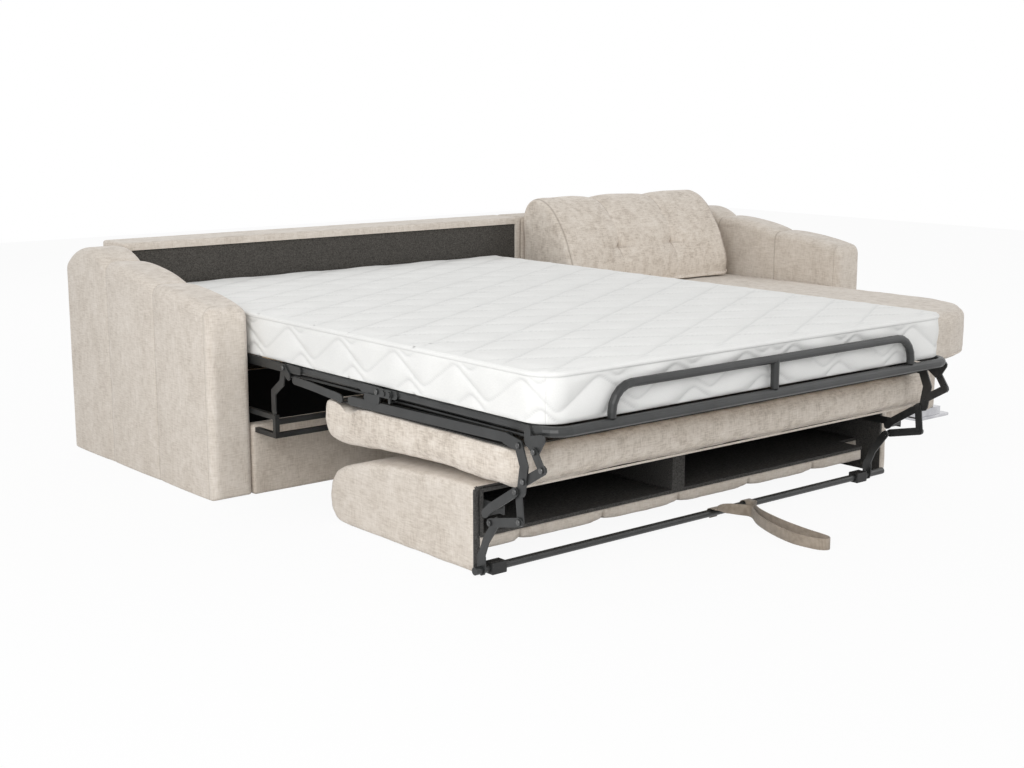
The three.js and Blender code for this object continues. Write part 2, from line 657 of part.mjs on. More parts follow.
function addChaiseBackCushion() {
  const height = CUSHION_TOP - CUSHION_FLOOR;
  const seams = Array.from({ length: CUSHION_LOBES + 1 }, (_, i) => CHAISE_LEFT + i * CUSHION_LOBE_PITCH);
  const [middleDepth, middleHeight] = CUSHION_MIDDLE_SHARES;
  const middle = at(CUSHION_BACK_Y - middleDepth * CUSHION_DEPTH, CUSHION_FLOOR + middleHeight * height);
  const rings = lobeStations(seams, SOFA_EDGE_RADIUS).map(({ place, edge, seam }) => (
    CUSHION_PROFILE_SHARES.map(([depth, rise, channel, tuft]) => {
      const p = at(CUSHION_BACK_Y - depth * CUSHION_DEPTH, CUSHION_FLOOR + rise * height);
      const pull = (CUSHION_CHANNEL_DEPTH * channel + CUSHION_TUFT_DEPTH * tuft) * seam + edge * 0.6;
      const inwards = middle.clone().sub(p).setLength(pull);
      const floor = rise > 0 ? CUSHION_FLOOR : p.y;
      return new THREE.Vector3(place, p.x + inwards.x, Math.max(p.y + (rise > 0 ? inwards.y : 0), floor));
    })
  ));
  addPart('chaise_back_cushion', loft(rings), FABRIC);
}

function addChaiseFeet() {
  const top = CHAISE_FOOT_HEIGHT - SEAM;
  const inner = CHAISE_BASE_RIGHT - CHAISE_BASE_CORNER;
  const x = [inner, inner + 2 * SKID_WIDTH];
  const y = [CHAISE_BASE_FRONT_Y + SKID_POST_RADIUS, CHAISE_BASE_FRONT_Y + SKID_POST_RADIUS + SKID_DEPTH];
  const postX = [x[0] + SKID_PLATE, x[1] - SKID_WIDTH / 2];
  const skid = joined(
    softBlock(x, y, [0, 2 * SKID_PLATE], SKID_PLATE / 2),
    block(postX, [y[0] + SKID_PLATE, y[1] - SKID_PLATE], [SKID_PLATE, top]),
  );
  addPart('chaise_skid_foot', skid, CHROME);
  const runnerY = [y[1] + SKID_DEPTH, BACK_Y - SKID_DEPTH];
  const runnerX = [BAY_RIGHT + SKID_DEPTH, CHAISE_BASE_RIGHT - SKID_DEPTH - SKID_POST_RADIUS];
  const names = ['chaise_runner_left', 'chaise_runner_right'];
  names.forEach((name, i) => {
    const reach = [runnerX[i] - SKID_POST_RADIUS, runnerX[i] + SKID_POST_RADIUS];
    addPart(name, softBlock(reach, runnerY, [0, top], SKID_PLATE / 2), RUBBER);
  });
}

// Brackets, swing legs and the fixed head section

function addMountBrackets() {
  const front = BRACKET_FRONT_Y;
  const shape = new THREE.Shape([
    at(front, BRACKET_BOTTOM),
    at(ARM_FRONT_Y - SEAM, BRACKET_BOTTOM),
    at(ARM_FRONT_Y - SEAM, BRACKET_BOTTOM + BRACKET_BAR),
    at(front + BRACKET_BAR, BRACKET_BOTTOM + BRACKET_BAR),
    at(front + BRACKET_BAR, BRACKET_TOP - BRACKET_BAR),
    at(ARM_FRONT_Y + BASE_PANEL_THICKNESS, BRACKET_TOP - BRACKET_BAR),
    at(ARM_FRONT_Y + BASE_PANEL_THICKNESS, BRACKET_TOP),
    at(front, BRACKET_TOP),
  ]);
  const side = onEdge(shape, MIDDLE_LAYER, BRACKET_BAR);
  const inset = MIDDLE_LAYER + BRACKET_BAR / 2;
  const x = [BAY_LEFT + inset, MECHANISM_RIGHT - inset];
  const y = [front, front + BRACKET_BAR];
  const upper = BRACKET_TOP - 2 * BRACKET_BAR;
  const lowBar = block(x, y, [BRACKET_BOTTOM, BRACKET_BOTTOM + BRACKET_BAR]);
  const highBar = block(x, y, [upper, upper + BRACKET_BAR]);
  addPart('mount_bracket', joined(side, mirrored(side), lowBar, highBar), STEEL);
}

function addSwingLegs() {
  const foot = at(BRACKET_FRONT_Y + BRACKET_BAR / 2, BRACKET_TOP + LINK_HALF_WIDTH + SEAM);
  const knee = at(PIVOT_A.x + LINK_HALF_WIDTH, PIVOT_A.y - 4 * LINK_HALF_WIDTH);
  const shin = at(foot.x - SEAM, foot.y + 5 * LINK_HALF_WIDTH);
  const rest = [HINGE_SETBACK, 3 * HINGE_SETBACK].map((reach) => at(PIVOT_A.x + reach, RAIL_LEVEL));
  const leg = joined(
    onEdge(strip([PIVOT_A, knee, shin, foot], LINK_HALF_WIDTH), MIDDLE_LAYER, PLATE),
    onEdge(strip([PIVOT_A, ...rest], LINK_HALF_WIDTH), MIDDLE_LAYER, PLATE),
    onEdge(strip([PIVOT_A, SWING_LUG], LINK_HALF_WIDTH), MIDDLE_LAYER, PLATE),
    bolt(PIVOT_A, MIDDLE_LAYER, INNER_LAYER + PLATE),
  );
  addPair('swing_leg', leg, STEEL);
}

// A deck of slats on two battens, its ends fitted round the rails it meets
function slats(yFrom, yTo, count, endInset, ...rails) {
  const x = [BAY_LEFT + endInset, MECHANISM_RIGHT - endInset];
  const pitch = (yTo - yFrom) / count;
  const underside = RAIL_TOP - SLAT_THICKNESS;
  const middles = Array.from({ length: count }, (_, i) => yFrom + pitch * (i + 0.5));
  const blades = middles.map((middle) => (
    block(x, [middle - SLAT_WIDTH / 2, middle + SLAT_WIDTH / 2], [underside, RAIL_TOP])
  ));
  const battens = [-1, 1].map((side) => {
    const place = MECHANISM_CENTRE + side * MECHANISM_WIDTH / 4;
    const reach = [place - BATTEN_WIDTH / 2, place + BATTEN_WIDTH / 2];
    return block(reach, [middles[0], middles.at(-1)], [underside - SLAT_THICKNESS, underside]);
  });
  const deck = joined(...blades, ...battens);
  return rails.length > 0 ? cut(deck, ...rails) : deck;
}

// An angle that carries the head slats, with hangers that reach out to the side of the bay
function headRail(sideInset) {
  const y = [FOLD_A_Y + HINGE_SETBACK, BACK_PANEL_FRONT_Y - SEAM];
  const wall = [BAY_LEFT + INNER_LAYER, BAY_LEFT + INNER_LAYER + PLATE];
  const ledgeTop = RAIL_TOP - SLAT_THICKNESS - SEAM;
  const low = RAIL_LEVEL - HANGER_DROP;
  const hangers = HANGER_SHARES.flatMap((share) => {
    const middle = THREE.MathUtils.lerp(y[0], y[1], share);
    const width = [middle - HANGER_WIDTH / 2, middle + HANGER_WIDTH / 2];
    return [
      block(wall, width, [low, RAIL_LEVEL]),
      block([BAY_LEFT + sideInset, wall[1]], width, [low, low + 2 * RAIL_RADIUS]),
    ];
  });
  return joined(
    block(wall, y, [RAIL_LEVEL - RAIL_RADIUS, RAIL_TOP]),
    block([wall[0], wall[0] + 2 * RAIL_RADIUS], y, [ledgeTop - PLATE, ledgeTop]),
    ...hangers,
  );
}

function addHeadSection() {
  addPart('head_rail_left', headRail(SEAM), STEEL);
  addPart('head_rail_right', mirrored(headRail(MECHANISM_RIGHT - CHAISE_LEFT + SEAM)), STEEL);
  const y = [FOLD_A_Y + HINGE_SETBACK, BACK_PANEL_FRONT_Y - SLAT_THICKNESS];
  addPart('head_slats', slats(y[0], y[1], HEAD_SLATS, INNER_LAYER + PLATE + SEAM), BEECH);
}

// Middle section, between the two fold joints

const TONGUE_THICKNESS = PLATE + RUNNING_GAP + RAIL_RADIUS / 2;
const tongue = (...points) => onEdge(strip(points, LINK_HALF_WIDTH), INNER_LAYER, TONGUE_THICKNESS);

function addMidSection() {
  const reach = 3 * HINGE_SETBACK;
  const ends = [PIVOT_A.x - HINGE_SETBACK, PIVOT_B.x + HINGE_SETBACK];
  const line = (x) => ends.map((y) => new THREE.Vector3(x, y, RAIL_LEVEL));
  const rail = joined(
    tube(line(RAIL_LEFT), RAIL_RADIUS),
    tongue(at(PIVOT_A.x - reach, RAIL_LEVEL), PIVOT_A),
    tongue(PIVOT_B, at(PIVOT_B.x + reach, RAIL_LEVEL)),
  );
  const bores = [PIVOT_A, PIVOT_B].map((pivot) => bore(pivot, INNER_LAYER, TONGUE_THICKNESS));
  addPair('mid_rail', cut(rail, ...bores), STEEL);
  const seats = [RAIL_LEFT, RAIL_RIGHT].map((x) => tube(line(x), RAIL_RADIUS + SEAM));
  addPart('mid_slats', slats(ends[1], ends[0], MID_SLATS, RAIL_INSET, ...seats), BEECH);
}

// A thin control rod under a rail, its ends turned out towards the plates
function controlRod(start, end, endInset) {
  const x = BAY_LEFT + ROD_INSET;
  const ends = [start.x, end.x].map((y) => new THREE.Vector3(BAY_LEFT + endInset, y, ROD_LEVEL));
  const turns = [start.x, end.x].map((y) => new THREE.Vector3(x, y, ROD_LEVEL));
  return tube(bent([ends[0], turns[0], turns[1], ends[1]], 2 * ROD_RADIUS), ROD_RADIUS, BOLT_SIDES);
}

function addMidRods() {
  addPair('mid_rod', controlRod(SWING_LUG, HINGE_LUG, MIDDLE_LAYER + PLATE + SEAM), STEEL);
}

// Foot section

function addFootFrame() {
  const start = PIVOT_B.x - HINGE_SETBACK;
  const corners = [
    [RAIL_LEFT, start],
    [RAIL_LEFT, FOOT_TUBE_Y],
    [RAIL_RIGHT, FOOT_TUBE_Y],
    [RAIL_RIGHT, start],
  ];
  const path = bent(corners.map(([x, y]) => new THREE.Vector3(x, y, RAIL_LEVEL)), RAIL_BEND);
  const padEnd = at(start, RAIL_LEVEL);
  const pad = joined(
    tongue(at(PIVOT_B.x - 3 * HINGE_SETBACK, RAIL_LEVEL), padEnd),
    onEdge(strip([at(PAD_LUG.x, RAIL_LEVEL), PAD_LUG], 1.2 * ROD_RADIUS), INNER_LAYER, PLATE),
  );
  const gusset = joined(
    onEdge(strip([GUSSET_HEEL, GUSSET_TOE], LINK_HALF_WIDTH), INNER_LAYER, PLATE),
    onEdge(strip([GUSSET_TOE, GUSSET_PIN], LINK_HALF_WIDTH), INNER_LAYER, PLATE),
    onEdge(strip([GUSSET_HEEL, GUSSET_PIN], LINK_HALF_WIDTH), INNER_LAYER, PLATE),
    tongue(GUSSET_HEEL, at(GUSSET_HEEL.x, RAIL_LEVEL)),
    bolt(GUSSET_PIN, MIDDLE_LAYER - SEAM, INNER_LAYER + PLATE),
  );
  const corner = joined(pad, gusset);
  const bores = rivetPlaces().map((p) => bore(p, INNER_LAYER, TONGUE_THICKNESS));
  const frame = joined(tube(path, RAIL_RADIUS), corner, mirrored(corner));
  addPart('foot_frame', cut(frame, ...bores, ...bores.map(mirrored)), STEEL);
  const seat = tube(path, RAIL_RADIUS + SEAM);
  addPart('foot_slats', slats(FOOT_TUBE_Y + RAIL_BEND, start, FOOT_SLATS, RAIL_INSET, seat), BEECH);
}

// Where the hinge plates are riveted to the foot frame
function rivetPlaces() {
  return [1, 2].map((i) => at(PIVOT_B.x - (i + 0.2) * HINGE_SETBACK, RAIL_LEVEL));
}

function addHingePlates() {
  const rivets = rivetPlaces();
  const below = at(PIVOT_B.x, HINGE_LUG.y - SEAM);
  const plate = joined(
    onEdge(strip([rivets[1], PIVOT_B], LINK_HALF_WIDTH), MIDDLE_LAYER, PLATE),
    onEdge(strip([PIVOT_B, below], LINK_HALF_WIDTH), MIDDLE_LAYER, PLATE),
    onEdge(strip([below, HINGE_LUG], LINK_HALF_WIDTH), MIDDLE_LAYER, PLATE),
    bolt(PIVOT_B, MIDDLE_LAYER, INNER_LAYER + PLATE),
    ...rivets.map((rivet) => bolt(rivet, MIDDLE_LAYER, INNER_LAYER + PLATE)),
  );
  addPair('hinge_plate', plate, STEEL);
}

function addFootRods() {
  const toe = at((GUSSET_HEEL.x + GUSSET_TOE.x) / 2, ROD_LEVEL);
  addPair('foot_rod', controlRod(PAD_LUG, toe, INNER_LAYER + PLATE + SEAM), STEEL);
}

// Mattress retainer: a hoop with a middle post, standing on the foot tube

function addRetainerRail() {
  const bottom = RAIL_TOP + SEAM;
  const top = RAIL_LEVEL + RETAINER_HEIGHT;
  const left = BAY_LEFT + RETAINER_SIDE_INSET;
  const right = MECHANISM_RIGHT - RETAINER_SIDE_INSET;
  const corners = [[left, bottom], [left, top], [right, top], [right, bottom]];
  const hoop = bent(corners.map(([x, z]) => new THREE.Vector3(x, FOOT_TUBE_Y, z)), RETAINER_BEND);
  const post = [bottom, top].map((z) => new THREE.Vector3(MECHANISM_CENTRE, FOOT_TUBE_Y, z));
  addPart('retainer_rail', joined(tube(hoop, RETAINER_RADIUS), tube(post, RETAINER_RADIUS)), STEEL);
}

// The corner linkage between the foot frame, the seat cushion and the backrest

function addScissorLinks() {
  const upper = onEdge(strip([GUSSET_PIN, SCISSOR_ELBOW], LINK_HALF_WIDTH), MIDDLE_LAYER, PLATE);
  const lower = onEdge(strip([SCISSOR_ELBOW, SCISSOR_END], LINK_HALF_WIDTH), INNER_LAYER, PLATE);
  const link = joined(upper, lower, bolt(SCISSOR_ELBOW, MIDDLE_LAYER, INNER_LAYER + PLATE));
  const bores = [
    bore(GUSSET_PIN, MIDDLE_LAYER, PLATE),
    bore(SCISSOR_END, INNER_LAYER, PLATE),
  ];
  addPair('scissor_link', cut(link, ...bores), STEEL);
}

function addSidePlates() {
  const blank = joined(
    onEdge(strip([SEAT_BAR_FRONT, SIDE_PLATE_TOP, SIDE_PLATE_KNEE, SIDE_PLATE_FOOT], SIDE_PLATE_HALF_WIDTH),
      MIDDLE_LAYER, PLATE),
    onEdge(strip([SIDE_PLATE_FOOT, BACKREST_PIVOT], LINK_HALF_WIDTH), MIDDLE_LAYER, PLATE),
    bolt(SIDE_PLATE_TOP, MIDDLE_LAYER, MIDDLE_LAYER + PLATE),
    bolt(SCISSOR_END, MIDDLE_LAYER, INNER_LAYER + PLATE),
  );
  addPair('side_plate', cut(blank, bore(BACKREST_PIVOT, MIDDLE_LAYER, PLATE)), STEEL);
}

function addSeatBars() {
  const side = strip([SEAT_BAR_REAR, SEAT_BAR_FRONT], SEAT_BAR_HEIGHT / 2);
  const bar = onEdge(side, INNER_LAYER, SEAT_BAR_WIDTH);
  addPair('seat_bar', bar, STEEL);
}

// A flat bar that curves from the fold joint down onto the nose of the seat cushion
const ARM_CURVE_SHARES = [[0, 1], [0.4, 0.72], [0.76, 0.3], [0.9, 0.2], [1, 0]];

function addControlArms() {
  const start = at(PIVOT_A.x - HINGE_SETBACK - SEAT_BAR_HEIGHT, ROD_LEVEL - 2 * ROD_RADIUS);
  const end = at(SEAT_NOSE_Y - CONTROL_ARM_REACH, LINER_TOP + SEAM + LINK_HALF_WIDTH);
  const points = ARM_CURVE_SHARES.map(([along, above]) => (
    at(THREE.MathUtils.lerp(start.x, end.x, along), THREE.MathUtils.lerp(end.y, start.y, above))
  ));
  const foot = block(
    [BAY_LEFT + INNER_LAYER, CUSHION_LEFT + 2 * LINK_HALF_WIDTH],
    [end.x - LINK_HALF_WIDTH / 2, end.x + LINK_HALF_WIDTH],
    [LINER_TOP + SEAM, LINER_TOP + SEAM + PLATE],
  );
  addPair('control_arm', joined(onEdge(strip(points, LINK_HALF_WIDTH), INNER_LAYER, PLATE), foot), STEEL);
}

// Seat cushion, hanging face down: share of its length from the nose, share of its thickness
const SEAT_PROFILE_SHARES = [
  [0, 0.52],
  [0.006, 0.2],
  [0.02, -0.02],
  [0.065, -0.12],
  [0.11, -0.14],
  [0.2, -0.09],
  [0.32, 0],
  [0.62, 0.09],
  [0.85, 0.04],
  [0.955, 0.08],
  [0.99, 0.22],
  [1, 0.5],
  [0.993, 0.83],
  [0.975, 0.96],
  [0.94, 1],
  [0.55, 1],
  [0.25, 0.98],
  [0.155, 0.86],
  [0.087, 0.97],
  [0.03, 1],
  [0.006, 0.85],
];

function addSeatCushion() {
  const middle = at(SEAT_NOSE_Y - SEAT_LENGTH / 2, SEAT_FACE_LEVEL + SEAT_THICKNESS / 2);
  const stations = lobeStations([CUSHION_LEFT, CUSHION_RIGHT], SOFA_EDGE_RADIUS);
  const rings = stations.map(({ place, share, edge }) => (
    SEAT_PROFILE_SHARES.map(([length, rise]) => {
      const crown = rise < 0.5 ? SEAT_CROWN * (1 - (2 * share - 1) ** 2) * Math.sin(Math.PI * length) : 0;
      const y = SEAT_NOSE_Y - length * SEAT_LENGTH;
      const z = SEAT_FACE_LEVEL + rise * SEAT_THICKNESS - crown;
      const towards = Math.sign(middle.x - y) * Math.min(edge, Math.abs(middle.x - y));
      const inset = rise > 0.9 ? 0 : edge / 2;
      return new THREE.Vector3(place, y + towards / 2, z + Math.sign(middle.y - z) * inset);
    })
  ));
  addPart('seat_cushion', loft(rings), FABRIC);
  const liner = softBlock(
    [CUSHION_LEFT + LINK_HALF_WIDTH / 2, CUSHION_RIGHT - LINK_HALF_WIDTH / 2],
    [SEAT_NOSE_Y - SEAT_LENGTH + SOFA_EDGE_RADIUS, SEAT_NOSE_Y - 2 * SOFA_EDGE_RADIUS],
    [SEAT_TOP + SEAM, LINER_TOP],
    SEAT_LINER_THICKNESS / 4,
  );
  addPart('seat_liner', liner, DARK_LINING);
}

// Backrest, lying with its open underside to the front: share of its length from the opening,
// share of its thickness
const BACKREST_PROFILE_SHARES = [
  [0, 0.03],
  [0.012, 0],
  [0.5, 0],
  [0.9, 0],
  [0.955, 0.03],
  [0.99, 0.14],
  [1, 0.31],
  [0.985, 0.52],
  [0.95, 0.65],
  [0.89, 0.74],
  [0.8, 0.815],
  [0.7, 0.88],
  [0.56, 0.92],
  [0.36, 0.96],
  [0.2, 0.985],
  [0.02, 1],
  [0, 0.97],
];
const CAVITY_ROOF_SHARES = [[0, 0.945], [0.2, 0.93], [0.46, 0.875], [0.7, 0.82]];

function backrestPoint([length, rise]) {
  return at(BACKREST_OPEN_Y + length * BACKREST_LENGTH, rise * BACKREST_THICKNESS);
}

// The hollow of the backrest as a bar along x, drawn in by a margin
function backrestHollow(x, margin, floor) {
  const deep = BACKREST_OPEN_Y + BACKREST_CELL_DEPTH - margin;
  const roof = CAVITY_ROOF_SHARES.map(backrestPoint).filter((p) => p.x < deep);
  const last = roof.at(-1);
  const mouth = BACKREST_OPEN_Y - CUT_OVERRUN;
  const outline = [
    at(mouth, floor),
    at(deep, floor),
    at(deep, last.y - margin - CELL_CORNER),
    at(last.x, last.y - margin),
    ...roof.slice(0, -1).reverse().map((p) => at(p.x, p.y - margin)),
    at(mouth, roof[0].y - margin),
  ];
  return onEdge(new THREE.Shape(outline), x[0] - BAY_LEFT, x[1] - x[0]);
}

const BACKREST_SPAN = CUSHION_RIGHT - CUSHION_LEFT;
const BACKREST_LOBES = Math.floor(BACKREST_SPAN / BACKREST_LOBE_PITCH);
const BACKREST_SEAMS = [
  CUSHION_LEFT,
  ...Array.from({ length: BACKREST_LOBES }, (_, i) => CUSHION_LEFT + (i + 0.54) * BACKREST_LOBE_PITCH),
  CUSHION_RIGHT,
];
const CAVITY_X = [CUSHION_LEFT + BACKREST_WALL, CUSHION_RIGHT - BACKREST_WALL];
const LIP_TOP = BACKREST_RELIEF_HEIGHT + BACKREST_LIP;

function backrestBody() {
  const middle = at(BACKREST_OPEN_Y + BACKREST_LENGTH / 2, BACKREST_THICKNESS / 2);
  const rings = lobeStations([CUSHION_LEFT, CUSHION_RIGHT], SOFA_EDGE_RADIUS / 2).map(({ place, edge }) => (
    BACKREST_PROFILE_SHARES.map((shares) => {
      const p = backrestPoint(shares);
      const lengthwise = shares[0] > 0.5 ? -edge : 0;
      return new THREE.Vector3(place, p.x + lengthwise, p.y + Math.sign(middle.y - p.y) * edge * 0.6);
    })
  ));
  return loft(rings);
}

// The channelled relief under the backrest, deepest at its opening
function backrestRelief() {
  const mouth = BACKREST_OPEN_Y - CUT_OVERRUN;
  const seams = BACKREST_SEAMS.slice(1, -1);
  const places = [CAVITY_X[0], ...seams, CAVITY_X[1]];
  const rings = lobeStations(places, SEAM).map(({ place, seam }) => {
    const rise = BACKREST_RELIEF_HEIGHT - BACKREST_CHANNEL_DEPTH * (1 - seam);
    const outline = [
      [mouth, -CUT_OVERRUN],
      [BACKREST_OPEN_Y + BACKREST_RELIEF_LENGTH, -CUT_OVERRUN],
      [mouth, rise],
    ];
    return outline.map(([y, z]) => new THREE.Vector3(place, y, z));
  });
  return loft(rings);
}

function addBackrest() {
  const notchY = [BACKREST_OPEN_Y - CUT_OVERRUN, BACKREST_OPEN_Y + NOTCH_LENGTH];
  const notchZ = [-CUT_OVERRUN, LIP_TOP + 2 * LINING_THICKNESS];
  const notch = block([CAVITY_X[1] - NOTCH_WIDTH, CAVITY_X[1]], notchY, notchZ);
  const shell = cut(backrestBody(), backrestHollow(CAVITY_X, 0, LIP_TOP), backrestRelief(), notch);
  addPart('backrest_shell', shell, FABRIC);
  const outerX = [CAVITY_X[0] + SEAM, CAVITY_X[1] - SEAM];
  const liner = solidOf(cut(backrestHollow(outerX, SEAM, LIP_TOP + SEAM), notch));
  const divider = outerX[0] + CELL_DIVIDER_INSET;
  const cells = [
    [outerX[0] + LINING_THICKNESS, divider - CELL_DIVIDER],
    [divider, outerX[1] - LINING_THICKNESS],
  ].map((x) => solidOf(backrestHollow(x, LINING_THICKNESS, LIP_TOP + SEAM + LINING_THICKNESS)));
  const hollowed = liner.subtract(wasm.Manifold.union(cells)).trimByPlane([0, 1, 0], BACKREST_OPEN_Y);
  addPart('backrest_lining', geometryOf(hollowed), DARK_LINING);
}

// Arms that carry the backrest: their shoes lie against the end walls of its hollow
function backrestArm(wallX) {
  const half = LINK_HALF_WIDTH;
  const [y, z] = [ARM_ENTRY.x, ARM_ENTRY.y];
  const plate = onEdge(strip([BACKREST_PIVOT, ARM_ELBOW, ARM_ENTRY], half), OUTER_LAYER, PLATE);
  const plateX = [BAY_LEFT + OUTER_LAYER, BAY_LEFT + OUTER_LAYER + PLATE];
  const outer = Math.min(plateX[0], wallX[0]);
  const inner = Math.max(plateX[1], wallX[1]);
  return joined(
    plate,
    block([outer, inner], [y - half / 2, y + half / 2], [z - half / 2, z + half / 2]),
    block(wallX, [y - half / 2, BACKREST_OPEN_Y + SHOE_LENGTH], [z - half, z + half]),
    bolt(BACKREST_PIVOT, OUTER_LAYER, INNER_LAYER + PLATE),
  );
}

function addBackrestArms() {
  const walls = [CAVITY_X[0] + SEAM + LINING_THICKNESS, CAVITY_X[1] - SEAM - LINING_THICKNESS];
  addPart('backrest_arm_left', backrestArm([walls[0] + SEAM, walls[0] + SEAM + PLATE]), STEEL);
  const reflected = BAY_LEFT + MECHANISM_RIGHT - walls[1];
  addPart('backrest_arm_right', mirrored(backrestArm([reflected + SEAM, reflected + SEAM + PLATE])), STEEL);
  const link = onEdge(strip([BACKREST_PIVOT, LEG_PIVOT], LINK_HALF_WIDTH), INNER_LAYER, PLATE);
  const bores = [BACKREST_PIVOT, LEG_PIVOT].map((pivot) => bore(pivot, INNER_LAYER, PLATE));
  addPair('vertical_link', cut(link, ...bores), STEEL);
}

// Support leg: folding bars at both sides, and the foot bar on its pads

function addSupportLeg() {
  const half = LINK_HALF_WIDTH;
  const link = joined(
    onEdge(strip([LEG_PIVOT, LEG_ELBOW], half), MIDDLE_LAYER, PLATE),
    bolt(LEG_PIVOT, MIDDLE_LAYER, INNER_LAYER + PLATE),
    bolt(LEG_ELBOW, MIDDLE_LAYER, LEG_PLATE_INSET + PLATE),
  );
  addPair('leg_link', link, STEEL);
  const hip = at(FOOT_BAR_CENTRE.x, FOOT_BAR_CENTRE.y + 3 * half);
  const blank = joined(
    onEdge(strip([LEG_ELBOW, LEG_KNEE, hip], half), LEG_PLATE_INSET, PLATE),
    onEdge(strip([hip, FOOT_BAR_CENTRE], LEG_PLATE_HALF_WIDTH - SEAM), LEG_PLATE_INSET, PLATE),
  );
  const barBore = tube([0, 2 * LEG_PLATE_INSET].map((inset) => spot(BAY_LEFT + inset, FOOT_BAR_CENTRE)),
    FOOT_BAR_RADIUS + SEAM, 2 * TUBE_SIDES);
  addPair('leg_plate', cut(blank, barBore, bore(LEG_ELBOW, LEG_PLATE_INSET, PLATE)), STEEL);
}

function addFootBar() {
  const start = BAY_LEFT + FOOT_BAR_INSET;
  const ends = [start, MECHANISM_RIGHT + FOOT_BAR_OVERHANG].map((x) => spot(x, FOOT_BAR_CENTRE));
  addPart('foot_bar', tube(ends, FOOT_BAR_RADIUS, 2 * TUBE_SIDES), STEEL);
  const padX = [BAY_LEFT + FOOT_PAD_INSET, BAY_LEFT + FOOT_PAD_INSET + FOOT_PAD_WIDTH];
  const padY = [FOOT_BAR_Y - FOOT_PAD_DEPTH / 2, FOOT_BAR_Y + FOOT_PAD_DEPTH / 2];
  const pad = softBlock(padX, padY, [0, 2 * FOOT_BAR_LEVEL], SKID_PLATE / 2);
  const barBore = tube([padX[0] - CUT_OVERRUN, padX[1] + CUT_OVERRUN].map((x) => spot(x, FOOT_BAR_CENTRE)),
    FOOT_BAR_RADIUS + SEAM, 2 * TUBE_SIDES);
  addPair('foot_pad', cut(pad, barBore), RUBBER);
}

// Pull strap: webbing looped over the foot bar, its loop standing on edge on the floor.
// Each place along the band has its middle and the direction of the band's width.
const STRAP_ROUTE = [
  [[1100, -1024, 2.3], [1, 0, 0]],
  [[1100, -1015, 6], [1, 0, 0]],
  [[1100, -1011.3, 15], [1, 0, 0]],
  [[1100, -1015, 24], [1, 0, 0]],
  [[1100, -1024, 27.7], [1, 0, 0]],
  [[1099, -1036, 27.4], [1, 0, 0]],
  [[1094, -1048, 25], [0.9, 0, 0.4]],
  [[1081, -1068, 20], [0.5, 0, 0.8]],
  [[1061, -1096, 16.5], [0, 0, 1]],
  [[1036, -1150, 16], [0, 0, 1]],
  [[1010, -1235, 16], [0, 0, 1]],
  [[994, -1320, 16], [0, 0, 1]],
  [[988, -1380, 16], [0, 0, 1]],
  [[982, -1408, 16], [0, 0, 1]],
  [[966, -1420, 16], [0, 0, 1]],
  [[950, -1408, 16], [0, 0, 1]],
  [[942, -1380, 16], [0, 0, 1]],
  [[940, -1320, 16], [0, 0, 1]],
  [[964, -1235, 16], [0, 0, 1]],
  [[1004, -1150, 16], [0, 0, 1]],
  [[1045, -1092, 17], [0.1, 0, 1]],
  [[1028, -1070, 21], [0.5, 0, 0.8]],
  [[998, -1050, 25.5], [0.9, 0, 0.4]],
  [[970, -1037, 27.4], [1, 0, 0]],
  [[968, -1024, 27.7], [1, 0, 0]],
  [[968, -1015, 24], [1, 0, 0]],
  [[968, -1011.3, 15], [1, 0, 0]],
  [[968, -1015, 6], [1, 0, 0]],
  [[968, -1024, 2.3], [1, 0, 0]],
];

function addPullStrap() {
  const places = STRAP_ROUTE.map(([middle]) => new THREE.Vector3(...middle));
  const section = [[-0.5, -0.5], [0.5, -0.5], [0.5, 0.5], [-0.5, 0.5]];
  let side = new THREE.Vector3(1, 0, 0);
  const rings = places.map((p, i) => {
    const before = places[Math.max(i - 1, 0)];
    const after = places[Math.min(i + 1, places.length - 1)];
    const along = after.clone().sub(before).normalize();
    const wide = new THREE.Vector3(...STRAP_ROUTE[i][1]);
    wide.addScaledVector(along, -wide.dot(along)).normalize();
    if (wide.dot(side) < 0) {
      wide.negate();
    }
    side = wide;
    const through = new THREE.Vector3().crossVectors(along, wide);
    return section.map(([u, v]) => {
      const corner = p.clone().addScaledVector(wide, u * STRAP_WIDTH);
      return corner.addScaledVector(through, v * STRAP_THICKNESS);
    });
  });
  addPart('pull_strap', loft(rings), WEBBING);
}

// Mattress, in three panels with a soft strip over each fold joint

function mattressPart(name, y, cornerRadii) {
  const top = MATTRESS_TOP;
  const layers = [
    [MATTRESS_BOTTOM, MATTRESS_EDGE / 2],
    [MATTRESS_BOTTOM + MATTRESS_EDGE, 0],
    [top - MATTRESS_EDGE, 0],
    [top - MATTRESS_EDGE / 4, MATTRESS_EDGE / 4],
    [top, MATTRESS_EDGE],
    [top + MATTRESS_CROWN, MATTRESS_CROWN_REACH],
  ];
  const x = [BAY_LEFT + MATTRESS_SIDE_INSET, MECHANISM_RIGHT - MATTRESS_SIDE_INSET];
  addPart(name, paddedSlab(x, [y[0] + SEAM / 2, y[1] - SEAM / 2], cornerRadii, layers), TICKING);
}

